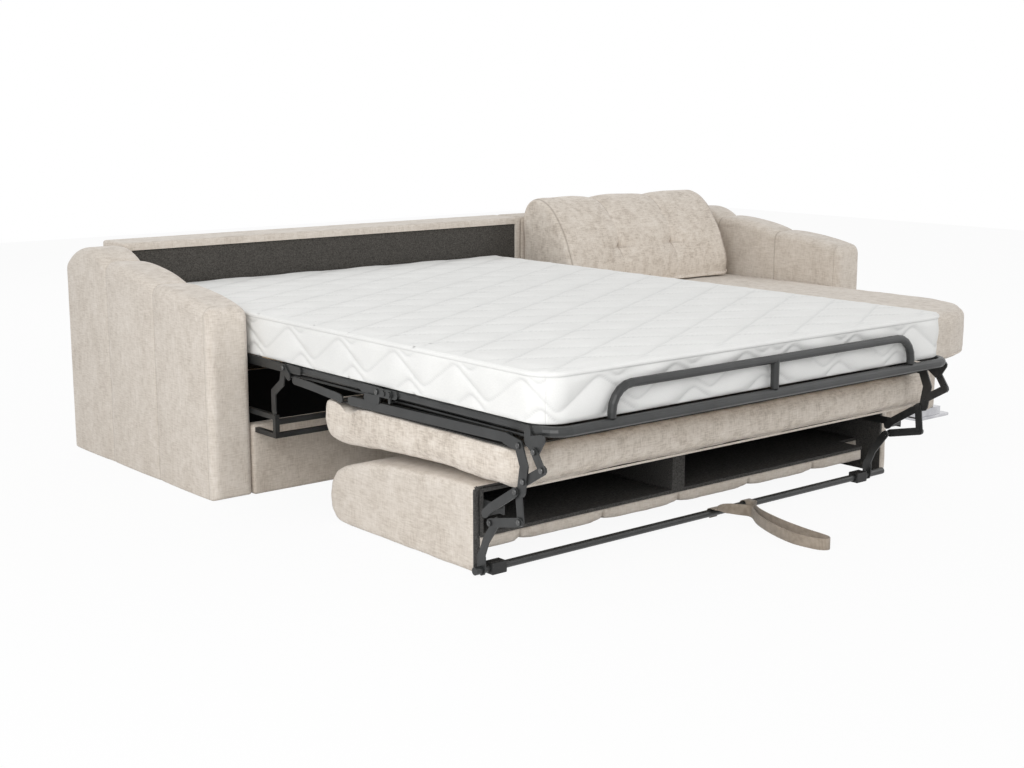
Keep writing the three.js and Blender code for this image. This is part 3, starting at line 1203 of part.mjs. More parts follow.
function addMattress() {
  const square = MATTRESS_EDGE;
  const folds = [PIVOT_A.x, PIVOT_B.x];
  const head = BACK_PANEL_FRONT_Y - MATTRESS_FOOT_GAP;
  const foot = FOOT_TUBE_Y + RETAINER_RADIUS + MATTRESS_FOOT_GAP;
  const plain = [square, square, square, square];
  const headCorners = [square, MATTRESS_CORNER, MATTRESS_CORNER, square];
  const footCorners = [MATTRESS_CORNER, square, square, MATTRESS_CORNER];
  mattressPart('mattress_head', [folds[0] + FOLD_REACH, head], headCorners);
  mattressPart('mattress_fold_head', [folds[0] - FOLD_REACH, folds[0] + FOLD_REACH], plain);
  mattressPart('mattress_mid', [folds[1] + FOLD_REACH, folds[0] - FOLD_REACH], plain);
  mattressPart('mattress_fold_foot', [folds[1] - FOLD_REACH, folds[1] + FOLD_REACH], plain);
  mattressPart('mattress_foot', [foot, folds[1] - FOLD_REACH], footCorners);
}

addArms();
addBack();
addBasePanel();
addChaiseBase();
addChaiseSeat();
addChaiseBackFrame();
addChaiseBackCushion();
addChaiseFeet();
addMountBrackets();
addSwingLegs();
addHeadSection();
addMidSection();
addMidRods();
addFootFrame();
addRetainerRail();
addHingePlates();
addFootRods();
addScissorLinks();
addSidePlates();
addSeatBars();
addControlArms();
addSeatCushion();
addBackrest();
addBackrestArms();
addSupportLeg();
addFootBar();
addPullStrap();
addMattress();

// The origin is the middle of the footprint, on the floor
const extent = new THREE.Box3().setFromObject(sofa);
const centre = extent.getCenter(new THREE.Vector3());
sofa.position.set(-centre.x, -centre.y, -extent.min.z);

export default sofa;
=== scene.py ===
# Corner sofa with its bed unfolded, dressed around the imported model.
# Metres, +Z up, +Y towards the sofa's back.
import math

import bpy
import numpy as np
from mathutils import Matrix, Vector, noise


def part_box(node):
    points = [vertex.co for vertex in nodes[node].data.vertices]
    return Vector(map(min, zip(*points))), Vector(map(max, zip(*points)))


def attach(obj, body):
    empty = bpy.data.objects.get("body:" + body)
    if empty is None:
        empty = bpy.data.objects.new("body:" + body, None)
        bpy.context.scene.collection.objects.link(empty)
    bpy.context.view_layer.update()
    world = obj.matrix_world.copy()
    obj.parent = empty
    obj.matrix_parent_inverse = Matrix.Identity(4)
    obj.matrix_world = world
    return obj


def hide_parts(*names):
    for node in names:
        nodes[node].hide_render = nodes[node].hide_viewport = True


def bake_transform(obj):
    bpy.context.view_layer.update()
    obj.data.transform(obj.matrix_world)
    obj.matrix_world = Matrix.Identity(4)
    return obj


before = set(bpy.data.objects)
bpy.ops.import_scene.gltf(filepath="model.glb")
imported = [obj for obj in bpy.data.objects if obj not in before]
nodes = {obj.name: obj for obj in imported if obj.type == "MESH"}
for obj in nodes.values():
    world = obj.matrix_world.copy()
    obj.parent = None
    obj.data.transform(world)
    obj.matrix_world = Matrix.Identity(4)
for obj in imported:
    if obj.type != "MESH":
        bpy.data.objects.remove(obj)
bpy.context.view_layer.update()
scene = bpy.context.scene


# Camera: stands off the left front corner of the sofa, a little above its back, and looks
# down the length of the bed to the chaise.
CAMERA_PLACE = Vector((-3.485, -3.5509, 1.141))
CAMERA_AIM = Vector((0.6275, 0.7561, -0.1861))
CAMERA_LENS_MM = 54.5
SENSOR_WIDTH_MM = 36.0
VIEW_DEPTH = 100.0


def shown(name, data):
    """A new object in the scene."""
    made = bpy.data.objects.new(name, data)
    scene.collection.objects.link(made)
    return made


def aimed(stand, place, aim):
    """Puts a camera or a lamp at its place, looking along its aim."""
    stand.location = place
    stand.rotation_mode = "QUATERNION"
    stand.rotation_quaternion = aim.to_track_quat("-Z", "Y")


camera = shown("camera", bpy.data.cameras.new("camera"))
camera.data.lens = CAMERA_LENS_MM
camera.data.sensor_width = SENSOR_WIDTH_MM
camera.data.clip_end = VIEW_DEPTH
aimed(camera, CAMERA_PLACE, CAMERA_AIM)
scene.camera = camera


# Floor, sky and lamps of a plain white studio: one broad low lamp off the left front corner,
# a weak one from the right, one behind, and an even white sky.
FLOOR_SIZE = 16.0
FLOOR_COLOUR = (0.8, 0.8, 0.8, 1)
WHITE = (1, 1, 1, 1)
SKY_STRENGTH = 0.57
FLOOR_GLOW_SHARE = 0.93
LAMP_SIZE = 3.0
LAMPS = [
    ("key_lamp", (-4.6, -2.8, 2.5), 140.0),
    ("fill_lamp", (3.8, -3.6, 3.0), 60.0),
    ("rear_lamp", (0.2, 4.2, 3.6), 45.0),
]
AIM_POINT = Vector((0.0, -0.1, 0.35))


def wired(tree, kind, inputs=None, **settings):
    """A new node with its settings. Each of its inputs is given a value, an output, or a node,
    which stands for its first output."""
    node = tree.nodes.new(kind)
    for name, value in settings.items():
        setattr(node, name, value)
    for name, value in (inputs or {}).items():
        value = value.outputs[0] if isinstance(value, bpy.types.Node) else value
        if isinstance(value, bpy.types.NodeSocket):
            tree.links.new(value, node.inputs[name])
        else:
            node.inputs[name].default_value = value
    return node


def computed(tree, operation, first, second):
    return wired(tree, "ShaderNodeMath", {0: first, 1: second}, operation=operation)


def seen_white_share(tree):
    """One for the rays of the camera, of mirrors and of glass."""
    rays = wired(tree, "ShaderNodeLightPath").outputs
    direct = computed(tree, "MAXIMUM", rays["Is Camera Ray"], rays["Is Glossy Ray"])
    return computed(tree, "MAXIMUM", direct, rays["Is Transmission Ray"])


def switched(tree, share, first, second, output):
    """Shows the second shader by that share of the first."""
    mix = wired(tree, "ShaderNodeMixShader", {0: share, 1: first, 2: second})
    tree.links.new(mix.outputs[0], tree.nodes[output].inputs[0])


def light_the_studio():
    world = bpy.data.worlds.new("studio")
    scene.world = world
    world.use_nodes = True
    tree = world.node_tree
    sky = tree.nodes["Background"]
    sky.inputs["Strength"].default_value = SKY_STRENGTH
    sky.inputs["Color"].default_value = WHITE
    backdrop = wired(tree, "ShaderNodeBackground", {"Color": WHITE})
    switched(tree, seen_white_share(tree), sky, backdrop, "World Output")
    for name, place, power in LAMPS:
        lamp = shown(name, bpy.data.lights.new(name, "AREA"))
        lamp.data.size = LAMP_SIZE
        lamp.data.energy = power
        aimed(lamp, place, AIM_POINT - Vector(place))


def lay_the_floor():
    half = FLOOR_SIZE / 2
    mesh = bpy.data.meshes.new("floor")
    corners = [(-half, -half, 0), (half, -half, 0), (half, half, 0), (-half, half, 0)]
    mesh.from_pydata(corners, [], [(0, 1, 2, 3)])
    floor = shown("floor", mesh)
    material = bpy.data.materials.new("white_floor")
    material.use_nodes = True
    tree = material.node_tree
    paint = tree.nodes["Principled BSDF"]
    paint.inputs["Base Color"].default_value = FLOOR_COLOUR
    paint.inputs["Roughness"].default_value = 1.0
    share = computed(tree, "MULTIPLY", seen_white_share(tree), FLOOR_GLOW_SHARE)
    switched(tree, share, paint, wired(tree, "ShaderNodeEmission"), "Material Output")
    mesh.materials.append(material)


scene.view_settings.view_transform = "Standard"
light_the_studio()
lay_the_floor()


# Pull strap: a loop of cotton webbing, 30 mm wide, sewn round the foot bar at two places. It
# stands on its edge on the floor in front of the bed, where a hand takes it to fold the bed.
STRAP_WIDTH = 0.030
STRAP_THICKNESS = 0.0025
STRAP_STEPS = 6
STRAP_LEVEL = 0.016
FLAT, UPRIGHT = (1, 0, 0), (0, 0, 1)
STRAP_WRAP = [(-0.765875, 0.0023), (-0.756875, 0.006), (-0.753175, 0.015), (-0.756875, 0.024),
              (-0.765875, 0.0277)]
STRAP_LOOP = [(-0.394, -0.891875), (-0.420, -0.976875), (-0.436, -1.061875), (-0.442, -1.121875),
              (-0.448, -1.149875), (-0.464, -1.161875), (-0.480, -1.149875), (-0.488, -1.121875),
              (-0.490, -1.061875), (-0.466, -0.976875), (-0.426, -0.891875)]
# Each row is a place on the webbing's middle and the direction of its width there.
STRAP_ROUTE = [
    *(((-0.330, y, z), FLAT) for y, z in STRAP_WRAP),
    ((-0.331, -0.777875, 0.0274), FLAT),
    ((-0.336, -0.789875, 0.025), (0.9, 0, 0.4)),
    ((-0.349, -0.809875, 0.020), (0.5, 0, 0.8)),
    ((-0.369, -0.837875, 0.0165), UPRIGHT),
    *(((x, y, STRAP_LEVEL), UPRIGHT) for x, y in STRAP_LOOP),
    ((-0.385, -0.833875, 0.017), (0.1, 0, 1)),
    ((-0.402, -0.811875, 0.021), (0.5, 0, 0.8)),
    ((-0.432, -0.791875, 0.0255), (0.9, 0, 0.4)),
    ((-0.460, -0.778875, 0.0274), FLAT),
    *(((-0.462, y, z), FLAT) for y, z in STRAP_WRAP[::-1]),
]


def tone(red, green, blue):
    """A finish's colour, given as the 0 to 255 values of a paint chart."""
    shares = [value / 255 for value in (red, green, blue)]
    return tuple(s / 12.92 if s <= 0.04045 else ((s + 0.055) / 1.055) ** 2.4 for s in shares) + (1,)


class Finish:
    """A procedural finish: one Principled shader and the nodes that feed it."""

    def __init__(self, name, roughness, metallic=0.0, sheen=0.0, coat=0.0, specular=0.5):
        self.material = bpy.data.materials.new(name)
        self.material.use_nodes = True
        self.tree = self.material.node_tree
        self.inputs = self.tree.nodes["Principled BSDF"].inputs
        values = {"Roughness": roughness, "Metallic": metallic, "Sheen Weight": sheen,
                  "Coat Weight": coat, "Specular IOR Level": specular}
        for label, value in values.items():
            self.inputs[label].default_value = value
        self.place = self.node("ShaderNodeTexCoord").outputs["Object"]
        self.relief = None

    def node(self, kind, inputs=None, **settings):
        return wired(self.tree, kind, inputs, **settings)

    def shade(self, label, node):
        """Feeds one of the shader's inputs."""
        self.tree.links.new(node.outputs[0], self.inputs[label])

    def spots(self, scale, stretch=(1, 1, 1), detail=3.0, roughness=0.5):
        """Soft irregular spots; a stretch above one makes them narrower along that axis."""
        mapping = self.node("ShaderNodeMapping", {0: self.place, "Scale": stretch})
        return self.node("ShaderNodeTexNoise", {"Vector": mapping, "Scale": scale, "Detail": detail,
                                                "Roughness": roughness}).outputs["Fac"]

    def sum(self, *terms):
        """The terms' weighted sum; each is an output and its weight."""
        scaled = [computed(self.tree, "MULTIPLY", output, weight) for output, weight in terms]
        total = scaled[0]
        for term in scaled[1:]:
            total = computed(self.tree, "ADD", total, term)
        return total

    def colours(self, share, *stops):
        """The base colour along a ramp of (place, colour) stops."""
        ramp = self.node("ShaderNodeValToRGB", {0: share})
        elements = ramp.color_ramp.elements
        while len(elements) < len(stops):
            elements.new(0.5)
        for element, (position, colour) in zip(elements, stops):
            element.position = position
            element.color = colour
        self.shade("Base Color", ramp)

    def painted_shade_at_seams(self, colour, share):
        """Painted shade: mixes a darker colour in where the piece's own seam attribute says so."""
        base = self.inputs["Base Color"].links[0].from_socket
        seam = self.node("ShaderNodeAttribute", attribute_name="seam").outputs["Fac"]
        share = computed(self.tree, "MULTIPLY", seam, share)
        self.shade("Base Color", self.node("ShaderNodeMixRGB", {"Fac": share, "Color1": base,
                                                                "Color2": colour}))

    def bump(self, height, distance, strength):
        inputs = {"Height": height, "Distance": distance, "Strength": strength}
        if self.relief is not None:
            inputs["Normal"] = self.relief
        self.relief = self.node("ShaderNodeBump", inputs)
        self.shade("Normal", self.relief)

    def uneven_gloss(self, share, low, high):
        self.shade("Roughness", self.node("ShaderNodeMapRange", {"Value": share, "To Min": low,
                                                                 "To Max": high}))


def new_piece(name, points, faces, finish):
    mesh = bpy.data.meshes.new(name)
    mesh.from_pydata([tuple(p) for p in points], [], faces)
    mesh.validate()
    mesh.materials.append(finish.material)
    mesh.shade_smooth()
    return shown(name, mesh)


def smoothed(points, steps):
    """A curve through all of the points, with steps short runs between each two."""
    last = len(points) - 1
    points = [np.array(p, float) for p in points]
    curve = []
    for i in range(last):
        a, b, c, d = (points[min(max(i + k, 0), last)] for k in (-1, 0, 1, 2))
        for step in range(steps):
            t = step / steps
            curve.append(0.5 * (2 * b + (c - a) * t + (2 * a - 5 * b + 4 * c - d) * t * t
                                + (3 * b - a - 3 * c + d) * t ** 3))
    curve.append(points[-1])
    return curve


def ring_faces(rings, count):
    """Faces between neighbouring rings of count points each."""
    faces = []
    for r in range(rings - 1):
        for i in range(count):
            a, b = r * count + i, r * count + (i + 1) % count
            faces.append((a, b, b + count, a + count))
    return faces


def webbing_finish():
    finish = Finish("cotton_webbing", roughness=0.85, sheen=0.3)
    weave = finish.node("ShaderNodeUVMap", uv_map="weave")
    ribs = finish.node("ShaderNodeTexWave", {"Vector": weave, "Scale": 90.0, "Distortion": 0.6},
                       bands_direction="X").outputs["Fac"]
    share = finish.sum((ribs, 0.35), (finish.spots(60.0), 0.65))
    finish.colours(share, (0.25, tone(130, 118, 104)), (0.7, tone(178, 165, 150)))
    finish.bump(ribs, 0.0006, 0.8)
    return finish


def strap_loop():
    middles, widths = (smoothed(column, STRAP_STEPS) for column in zip(*STRAP_ROUTE))
    last = len(middles) - 1
    half, edge = STRAP_WIDTH / 2, STRAP_THICKNESS / 2
    under = [(-half, -edge / 2), (-half + edge, -edge), (-half / 3, -edge), (half / 3, -edge),
             (half - edge, -edge), (half, -edge / 2)]
    section = under + [(-u, -v) for u, v in under]
    ring = len(section)
    points = []
    for i, middle in enumerate(middles):
        along = middles[min(i + 1, last)] - middles[max(i - 1, 0)]
        along /= np.linalg.norm(along)
        wide = widths[i] - (widths[i] @ along) * along
        wide /= np.linalg.norm(wide)
        through = np.cross(along, wide)
        points += [middle + wide * u + through * v for u, v in section]
    faces = ring_faces(last + 1, ring)
    faces += [tuple(range(ring))[::-1], tuple(range(last * ring, last * ring + ring))]
    strap = new_piece("strap_loop", points, faces, webbing_finish())
    steps = [np.linalg.norm(b - a) for a, b in zip(middles, middles[1:])]
    lengths = np.cumsum([0] + steps)
    uv = strap.data.uv_layers.new(name="weave")
    for loop in strap.data.loops:
        i, k = divmod(loop.vertex_index, ring)
        uv.data[loop.index].uv = (lengths[i], section[k][0])
    return strap, middles, float(lengths[-1])


strap, strap_line, strap_length = strap_loop()
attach(strap, "support_leg")
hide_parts("pull_strap")


# Arms: timber boxes under foam and a brushed chenille cover. Two seams divide each arm into
# three bays, and the foam is scalloped over each bay along the top.
ARM_SEAMS_Y = (0.564125, 0.869125)
ARM_HEIGHTS = (0.541, 0.583, 0.623, 0.600)
ARM_LOBE_RISES = (0.014, 0.016, 0.048)
ARM_EDGE_RADIUS = 0.030
ARM_BASE_RADIUS = 0.008
ARM_SEAM_DEPTH = 0.007
ARM_PILLOW = 0.004
ARM_STEP = 0.012
ARC_RUNS = 8
TINY = 1e-9
ARM_RING_SIDES = (8, 44, 8, 44)
ARM_CREASE_WIDTH = 0.006
SEAM_WIDTH = 0.0022
FRONT_SEAM_SETBACK = 0.026
FRONT_SEAM_DEPTH = 0.0015
COVER_LIGHT = tone(226, 218, 209)
COVER_MIDDLE = tone(211, 202, 191)
COVER_DARK = tone(188, 177, 165)
# Colour of the shade painted into the seams and creases of the cover.
SEAM_PAINTED_SHADE = tone(120, 106, 94)


def cover_finish(name, light, middle, dark, crush=1.0):
    """Brushed chenille: clouds where the pile lies over, short slubs along and across."""
    finish = Finish(name, roughness=0.92, sheen=0.22, specular=0.25)
    finish.inputs["Sheen Roughness"].default_value = 0.45
    clouds = finish.spots(9.0, stretch=(1.5, 1.5, 0.8), detail=3.0, roughness=0.55)
    crushed = finish.spots(38.0, stretch=(1.0, 1.0, 0.9), detail=5.0, roughness=0.65)
    across = finish.spots(42.0, stretch=(1.0, 1.0, 7.0), detail=3.0)
    upright = finish.spots(42.0, stretch=(7.0, 7.0, 1.0), detail=3.0)
    weights = np.array((0.20, 0.22 * crush, 0.32, 0.26))
    weights /= weights.sum()
    share = finish.sum(*zip((clouds, crushed, across, upright), weights))
    finish.colours(share, (0.36, dark), (0.50, middle), (0.64, light))
    # Painted shade along the seams and creases that the piece's seam attribute marks.
    finish.painted_shade_at_seams(SEAM_PAINTED_SHADE, 0.55)
    weave = finish.spots(620.0, detail=1.0)
    finish.bump(finish.sum((across, 0.4), (upright, 0.4), (weave, 0.5)), 0.0016, 0.35)
    finish.bump(crushed, 0.006, 0.18)
    return finish


cover = cover_finish("brushed_chenille", COVER_LIGHT, COVER_MIDDLE, COVER_DARK)
sat_on_cover = cover_finish("brushed_chenille_sat_on", tone(234, 226, 216), tone(216, 206, 194),
                            tone(178, 166, 153), crush=1.7)


def rounded_ring(x, z, radii, sides):
    """A rectangle's outline with a radius at each corner, anticlockwise from its lower left,
    with as many runs along each side as sides says."""
    turns = [(x[0], z[0], math.pi), (x[1], z[0], 1.5 * math.pi), (x[1], z[1], 0.0),
             (x[0], z[1], 0.5 * math.pi)]
    inward = [(1, 1), (-1, 1), (-1, -1), (1, -1)]
    arcs = []
    for (cx, cz, start), (sx, sz), radius in zip(turns, inward, radii):
        centre = (cx + sx * radius, cz + sz * radius)
        angles = [start + 0.5 * math.pi * i / ARC_RUNS for i in range(ARC_RUNS + 1)]
        arcs.append([(centre[0] + radius * math.cos(angle), centre[1] + radius * math.sin(angle))
                     for angle in angles])
    ring = []
    for i, side in enumerate(sides):
        ring += arcs[i]
        a, b = arcs[i][-1], arcs[(i + 1) % 4][0]
        ring += [(a[0] + (b[0] - a[0]) * k / side, a[1] + (b[1] - a[1]) * k / side)
                 for k in range(1, side)]
    return np.array(ring)


def stations(start, end, step, rounding, seams=(), fine=0.0, reach=0.0):
    """Places along a body: even ones, closer ones beside each seam and round each end."""
    places = list(np.linspace(start, end, max(2, round((end - start) / step) + 1)))
    for seam in seams:
        places = [p for p in places if abs(p - seam) > reach]
        places += list(np.arange(seam - reach, seam + reach + fine / 2, fine))
    places = [p for p in places if start + rounding < p < end - rounding]
    turns = [rounding * (1 - math.cos(0.5 * math.pi * i / 7)) for i in range(8)]
    places += [start + t for t in turns] + [end - t for t in turns]
    return sorted(p for p in places if start - TINY <= p <= end + TINY)


def drawn_by_end(place, start, end, radius):
    """How far a round end of that radius draws the outline in at this place."""
    near = min(place - start, end - place)
    if near >= radius:
        return 0.0
    return radius - math.sqrt(max(radius ** 2 - (radius - near) ** 2, 0.0))


def closed_loft(rings, cap_steps=7, bulge=0.0):
    """Points and faces of a body through the rings, each end closed to its middle point."""
    axis = rings[-1].mean(axis=0) - rings[0].mean(axis=0)
    axis /= np.linalg.norm(axis)
    caps, tips = [], []
    for ring, away in ((rings[0], -axis), (rings[-1], axis)):
        middle = ring.mean(axis=0)
        left = [1 - step / cap_steps for step in range(1, cap_steps)]
        caps.append([middle + (ring - middle) * share + away * (bulge * (1 - share ** 2))
                     for share in left])
        tips.append(middle + away * bulge)
    rings = caps[0][::-1] + list(rings) + caps[1]
    count = len(rings[0])
    points = np.vstack(rings + tips)
    faces = ring_faces(len(rings), count)
    tail = (len(rings) - 1) * count
    for i in range(count):
        faces.append((i, len(points) - 2, (i + 1) % count))
        faces.append((tail + i, tail + (i + 1) % count, len(points) - 1))
    return points, faces


def facing_out(piece):
    """Turns the faces of a closed body outwards."""
    mesh = piece.data
    volume = 0.0
    mesh.calc_loop_triangles()
    for triangle in mesh.loop_triangles:
        a, b, c = (mesh.vertices[v].co for v in triangle.vertices)
        volume += a.dot(b.cross(c))
    if volume < 0:
        mesh.flip_normals()
    mesh.update()
    return piece


def vectors(items, name):
    """One vector for each of a mesh's vertices or faces."""
    values = np.empty(len(items) * 3, np.float32)
    items.foreach_get(name, values)
    return values.reshape(-1, 3)


def vertex_arrays(piece):
    """A piece's vertices and the directions that its surface faces there."""
    vertices = piece.data.vertices
    return vectors(vertices, "co").astype(float), vectors(vertices, "normal").astype(float)


def moved(piece, places):
    """Moves a piece's vertices, none of them below the floor."""
    places[:, 2] = np.maximum(places[:, 2], 0.0)
    piece.data.vertices.foreach_set("co", np.asarray(places, np.float32).ravel())
    piece.data.update()


# The seam attribute holds how much painted shade each vertex gets.
def mark_seam_shade(piece, values):
    attribute = piece.data.attributes.new("seam", "FLOAT", "POINT")
    attribute.data.foreach_set("value", np.clip(values, 0, 1).astype(np.float32))


def unmarked(piece):
    mark_seam_shade(piece, np.zeros(len(piece.data.vertices)))


def crumpled(piece, size, height, seam_pull=None):
    """Low soft unevenness of a cover over foam; stronger where seam_pull is near one."""
    places, outward = vertex_arrays(piece)
    lift = np.array([noise.noise(Vector(p) / size) + 0.5 * noise.noise(Vector(p) / size * 2.3)
                     for p in places])
    if seam_pull is not None:
        lift *= 0.35 + 1.6 * seam_pull
    moved(piece, places + outward * (lift * height)[:, None])


def near(values, places, width):
    """One at any of the places, falling away over width on both sides."""
    gap = np.min([np.abs(values - place) for place in places], axis=0)
    return np.exp(-(gap / width) ** 2)


def upholstered_arm(name, node, outer_side):
    low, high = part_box(node)
    outer, inner = (low.x, high.x) if outer_side < 0 else (high.x, low.x)
    end_radius = ARM_EDGE_RADIUS * 0.75
    joints = (low.y, *ARM_SEAMS_Y, high.y)
    front_seam = low.y + FRONT_SEAM_SETBACK
    rings = []
    places = stations(low.y, high.y, ARM_STEP, end_radius, (*ARM_SEAMS_Y, front_seam),
                      fine=0.0025, reach=0.015)
    for y in places:
        bay = min(max(np.searchsorted(joints, y) - 1, 0), 2)
        share = (y - joints[bay]) / (joints[bay + 1] - joints[bay])
        edge = drawn_by_end(y, low.y, high.y, end_radius)
        crease = sum(math.exp(-abs(y - seam) / ARM_CREASE_WIDTH) for seam in ARM_SEAMS_Y)
        front_crease = math.exp(-((y - front_seam) / SEAM_WIDTH) ** 2)
        chord = ARM_HEIGHTS[bay] * (1 - share) + ARM_HEIGHTS[bay + 1] * share
        rise = ARM_LOBE_RISES[bay] * (1 - abs(2 * share - 1) ** 2.4)
        pillow = ARM_PILLOW * (1 - abs(2 * share - 1) ** 3)
        drawn = edge + ARM_SEAM_DEPTH * crease * 0.25 + FRONT_SEAM_DEPTH * front_crease
        width = sorted((outer - (drawn - pillow) * outer_side, inner + drawn * outer_side))
        top = chord + rise - edge - ARM_SEAM_DEPTH * crease - FRONT_SEAM_DEPTH * front_crease
        radius = max(ARM_EDGE_RADIUS - edge / 2, ARM_BASE_RADIUS)
        outline = rounded_ring(width, (edge * 0.5, top),
                               (ARM_BASE_RADIUS, ARM_BASE_RADIUS, radius, radius),
                               ARM_RING_SIDES)
        toward_outer = (outline[:, 0] - inner) / (outer - inner)
        near_top = np.clip(outline[:, 1] / top, 0, 1) ** 8
        smoother = 0.7 * ARM_SEAM_DEPTH * crease + 0.35 * (ARM_LOBE_RISES[0] - rise) * (bay < 2)
        outline[:, 1] += smoother * toward_outer * near_top
        rings.append(np.column_stack([outline[:, 0], np.full(len(outline), y), outline[:, 1]]))
    points, faces = closed_loft(rings)
    arm = facing_out(new_piece(name, points, faces, cover))
    places, _ = vertex_arrays(arm)
    pull = near(places[:, 1], ARM_SEAMS_Y, 0.035) * 0.8
    toward_inner = np.clip((places[:, 0] - outer) / (inner - outer), 0, 1)
    # Painted shade in the seams, stronger towards the arm's inner side.
    seam_shade = near(places[:, 1], ARM_SEAMS_Y, SEAM_WIDTH) * (0.45 + 0.4 * toward_inner)
    seam_shade = np.maximum(seam_shade, 0.45 * near(places[:, 1], [front_seam], 0.0018))
    crumpled(arm, 0.055, 0.0009, pull)
    mark_seam_shade(arm, seam_shade)
    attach(arm, "sofa_base")
    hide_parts(node)
    return arm


arm_left = upholstered_arm("arm_cover_left", "left_arm", -1)
upholstered_arm("arm_cover_right", "right_arm", 1)


# Back panel, front apron and chaise frame: flat boards with a thin wadding under the same
# cover, wrapped over their edges and stapled behind. The apron and the chaise frame take a
# darker copy of the cover, painted shade. The back panel's bay side is recessed.
EDGE_RUNS = 5
PANEL_EDGE_RADIUS = 0.010
BOARD_STEP = 0.02
BOARD_CRUMPLE_SIZE = 0.09
BOARD_CRUMPLE = 0.0006
GRID_GAP = 0.001
BACK_RIM = 0.025
BACK_RECESS = 0.018
DECK_LEVEL = 0.210
# A darker copy of the cover: painted shade for the apron, the chaise frame and the chaise base.
painted_shade_cover = cover_finish("brushed_chenille_painted_shade", tone(216, 207, 196), tone(198, 188, 176),
                           tone(172, 160, 147))


def box_shell(*grids):
    """A closed box surface on a grid of places along x, along y and along z."""
    index, faces = {}, []
    last = [len(places) - 1 for places in grids]
    loops = [((0, 0), (0, 1), (1, 1), (1, 0)), ((0, 0), (1, 0), (1, 1), (0, 1))]
    for normal, first, second in ((2, 0, 1), (1, 0, 2), (0, 1, 2)):
        turned = loops[::-1] if normal == 1 else loops
        for i in range(last[first]):
            for j in range(last[second]):
                for level, loop in zip((0, last[normal]), turned):
                    face = []
                    for di, dj in loop:
                        place = [level, level, level]
                        place[first], place[second] = i + di, j + dj
                        face.append(index.setdefault(tuple(place), len(index)))
                    faces.append(tuple(face))
    return np.array([[grid[i] for grid, i in zip(grids, place)] for place in index]), faces


def edged(start, end, step, radius):
    """Places from start to end, closer within radius of both."""
    turn = [radius * (1 - math.cos(0.5 * math.pi * i / EDGE_RUNS)) for i in range(EDGE_RUNS)]
    middle = np.linspace(start + radius, end - radius,
                         max(2, round((end - start - 2 * radius) / step) + 1))
    return [start + t for t in turn] + list(middle) + [end - t for t in turn[::-1]]


def round_from_square(away):
    """Moves points on squares or cubes round a centre onto circles or balls round it."""
    length = np.linalg.norm(away, axis=1)
    reach = np.abs(away).max(axis=1)
    share = np.divide(reach, length, out=np.ones_like(length), where=length > TINY)
    return away * share[:, None]


def rounded_box(points, low, high, radius):
    """Rounds a box's edges and corners to the radius."""
    inner = np.clip(points, np.array(low) + radius, np.array(high) - radius)
    return inner + round_from_square(points - inner)


def rounded_upright(points, x, y, side, end, radius):
    """Rounds the upright corner of a box at x and y; side and end say which way it points."""
    centre = np.array((x - side * radius, y - end * radius))
    away = points[:, :2] - centre
    inside = (away[:, 0] * side > 0) & (away[:, 1] * end > 0)
    points[inside, :2] = (centre + round_from_square(away))[inside]
    return points


def covered_board(name, node, finish, radius=PANEL_EDGE_RADIUS):
    low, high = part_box(node)
    points, faces = box_shell(*(edged(low[i], high[i], BOARD_STEP, radius) for i in range(3)))
    points = rounded_box(points, low, high, radius)
    board = facing_out(new_piece(name, points, faces, finish))
    crumpled(board, BOARD_CRUMPLE_SIZE, BOARD_CRUMPLE)
    unmarked(board)
    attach(board, "sofa_base")
    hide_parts(node)


def covered_back():
    low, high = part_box("back_panel")
    rim = (low.x + BACK_RIM, high.x - BACK_RIM)
    recess_top = high.z - BACK_RIM
    xs = edged(low.x, rim[0] - GRID_GAP, 0.006, 0.005) + edged(rim[0], rim[1], 0.025, 0.004)
    xs += edged(rim[1] + GRID_GAP, high.x, 0.006, 0.005)
    zs = edged(low.z, DECK_LEVEL - GRID_GAP, 0.03, 0.008)
    zs += edged(DECK_LEVEL, recess_top, BOARD_STEP, 0.004)
    zs += edged(recess_top + GRID_GAP, high.z, 0.005, 0.006)
    points, faces = box_shell(xs, edged(low.y, high.y, BOARD_STEP, PANEL_EDGE_RADIUS), zs)
    inside = ((points[:, 1] < low.y + TINY) & (points[:, 0] >= rim[0]) & (points[:, 0] <= rim[1])
              & (points[:, 2] >= DECK_LEVEL) & (points[:, 2] <= recess_top))
    points = rounded_box(points, low, high, PANEL_EDGE_RADIUS)
    points[inside, 1] = low.y + BACK_RECESS
    back = facing_out(new_piece("back_cover", points, faces, cover))
    unmarked(back)
    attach(back, "sofa_base")
    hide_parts("back_panel")
    return back


back_cover = covered_back()
covered_board("apron_cover", "base_front_panel", painted_shade_cover)
covered_board("chaise_frame_cover", "chaise_back_frame", painted_shade_cover, 0.014)


# Board linings: needle felt glued on hardboard, behind the bed and in the backrest's cells,
# and the thin black dust cloth under the seat cushion. The walls of the bay under the bed are
# painted black: painted shade, where shade falls under the bed.
BAY_RIGHT = 0.338
BAY_FRONT = 0.275
BED_LEVEL = 0.40


def felt_finish(name, light, dark, fleck):
    finish = Finish(name, roughness=1.0, specular=0.15)
    flecks = finish.spots(fleck, detail=3.0, roughness=0.7)
    threads = finish.spots(160.0, stretch=(1.0, 1.0, 5.0), detail=2.0)
    share = finish.sum((flecks, 0.6), (threads, 0.4))
    finish.colours(share, (0.38, dark), (0.62, light))
    finish.bump(share, 0.0022, 0.5)
    return finish


def dress(finish, *names):
    """Gives CAD nodes that stay in view their finish."""
    for name in names:
        for holder in nodes[name].material_slots:
            holder.material = finish.material


def faced(piece, finish, chosen):
    """Gives the faces that chosen picks, by their middles and directions, another finish."""
    mesh = piece.data
    picked = chosen(vectors(mesh.polygons, "center"), vectors(mesh.polygons, "normal"))
    mesh.materials.append(finish.material)
    mesh.polygons.foreach_set("material_index", picked.astype(np.int32))


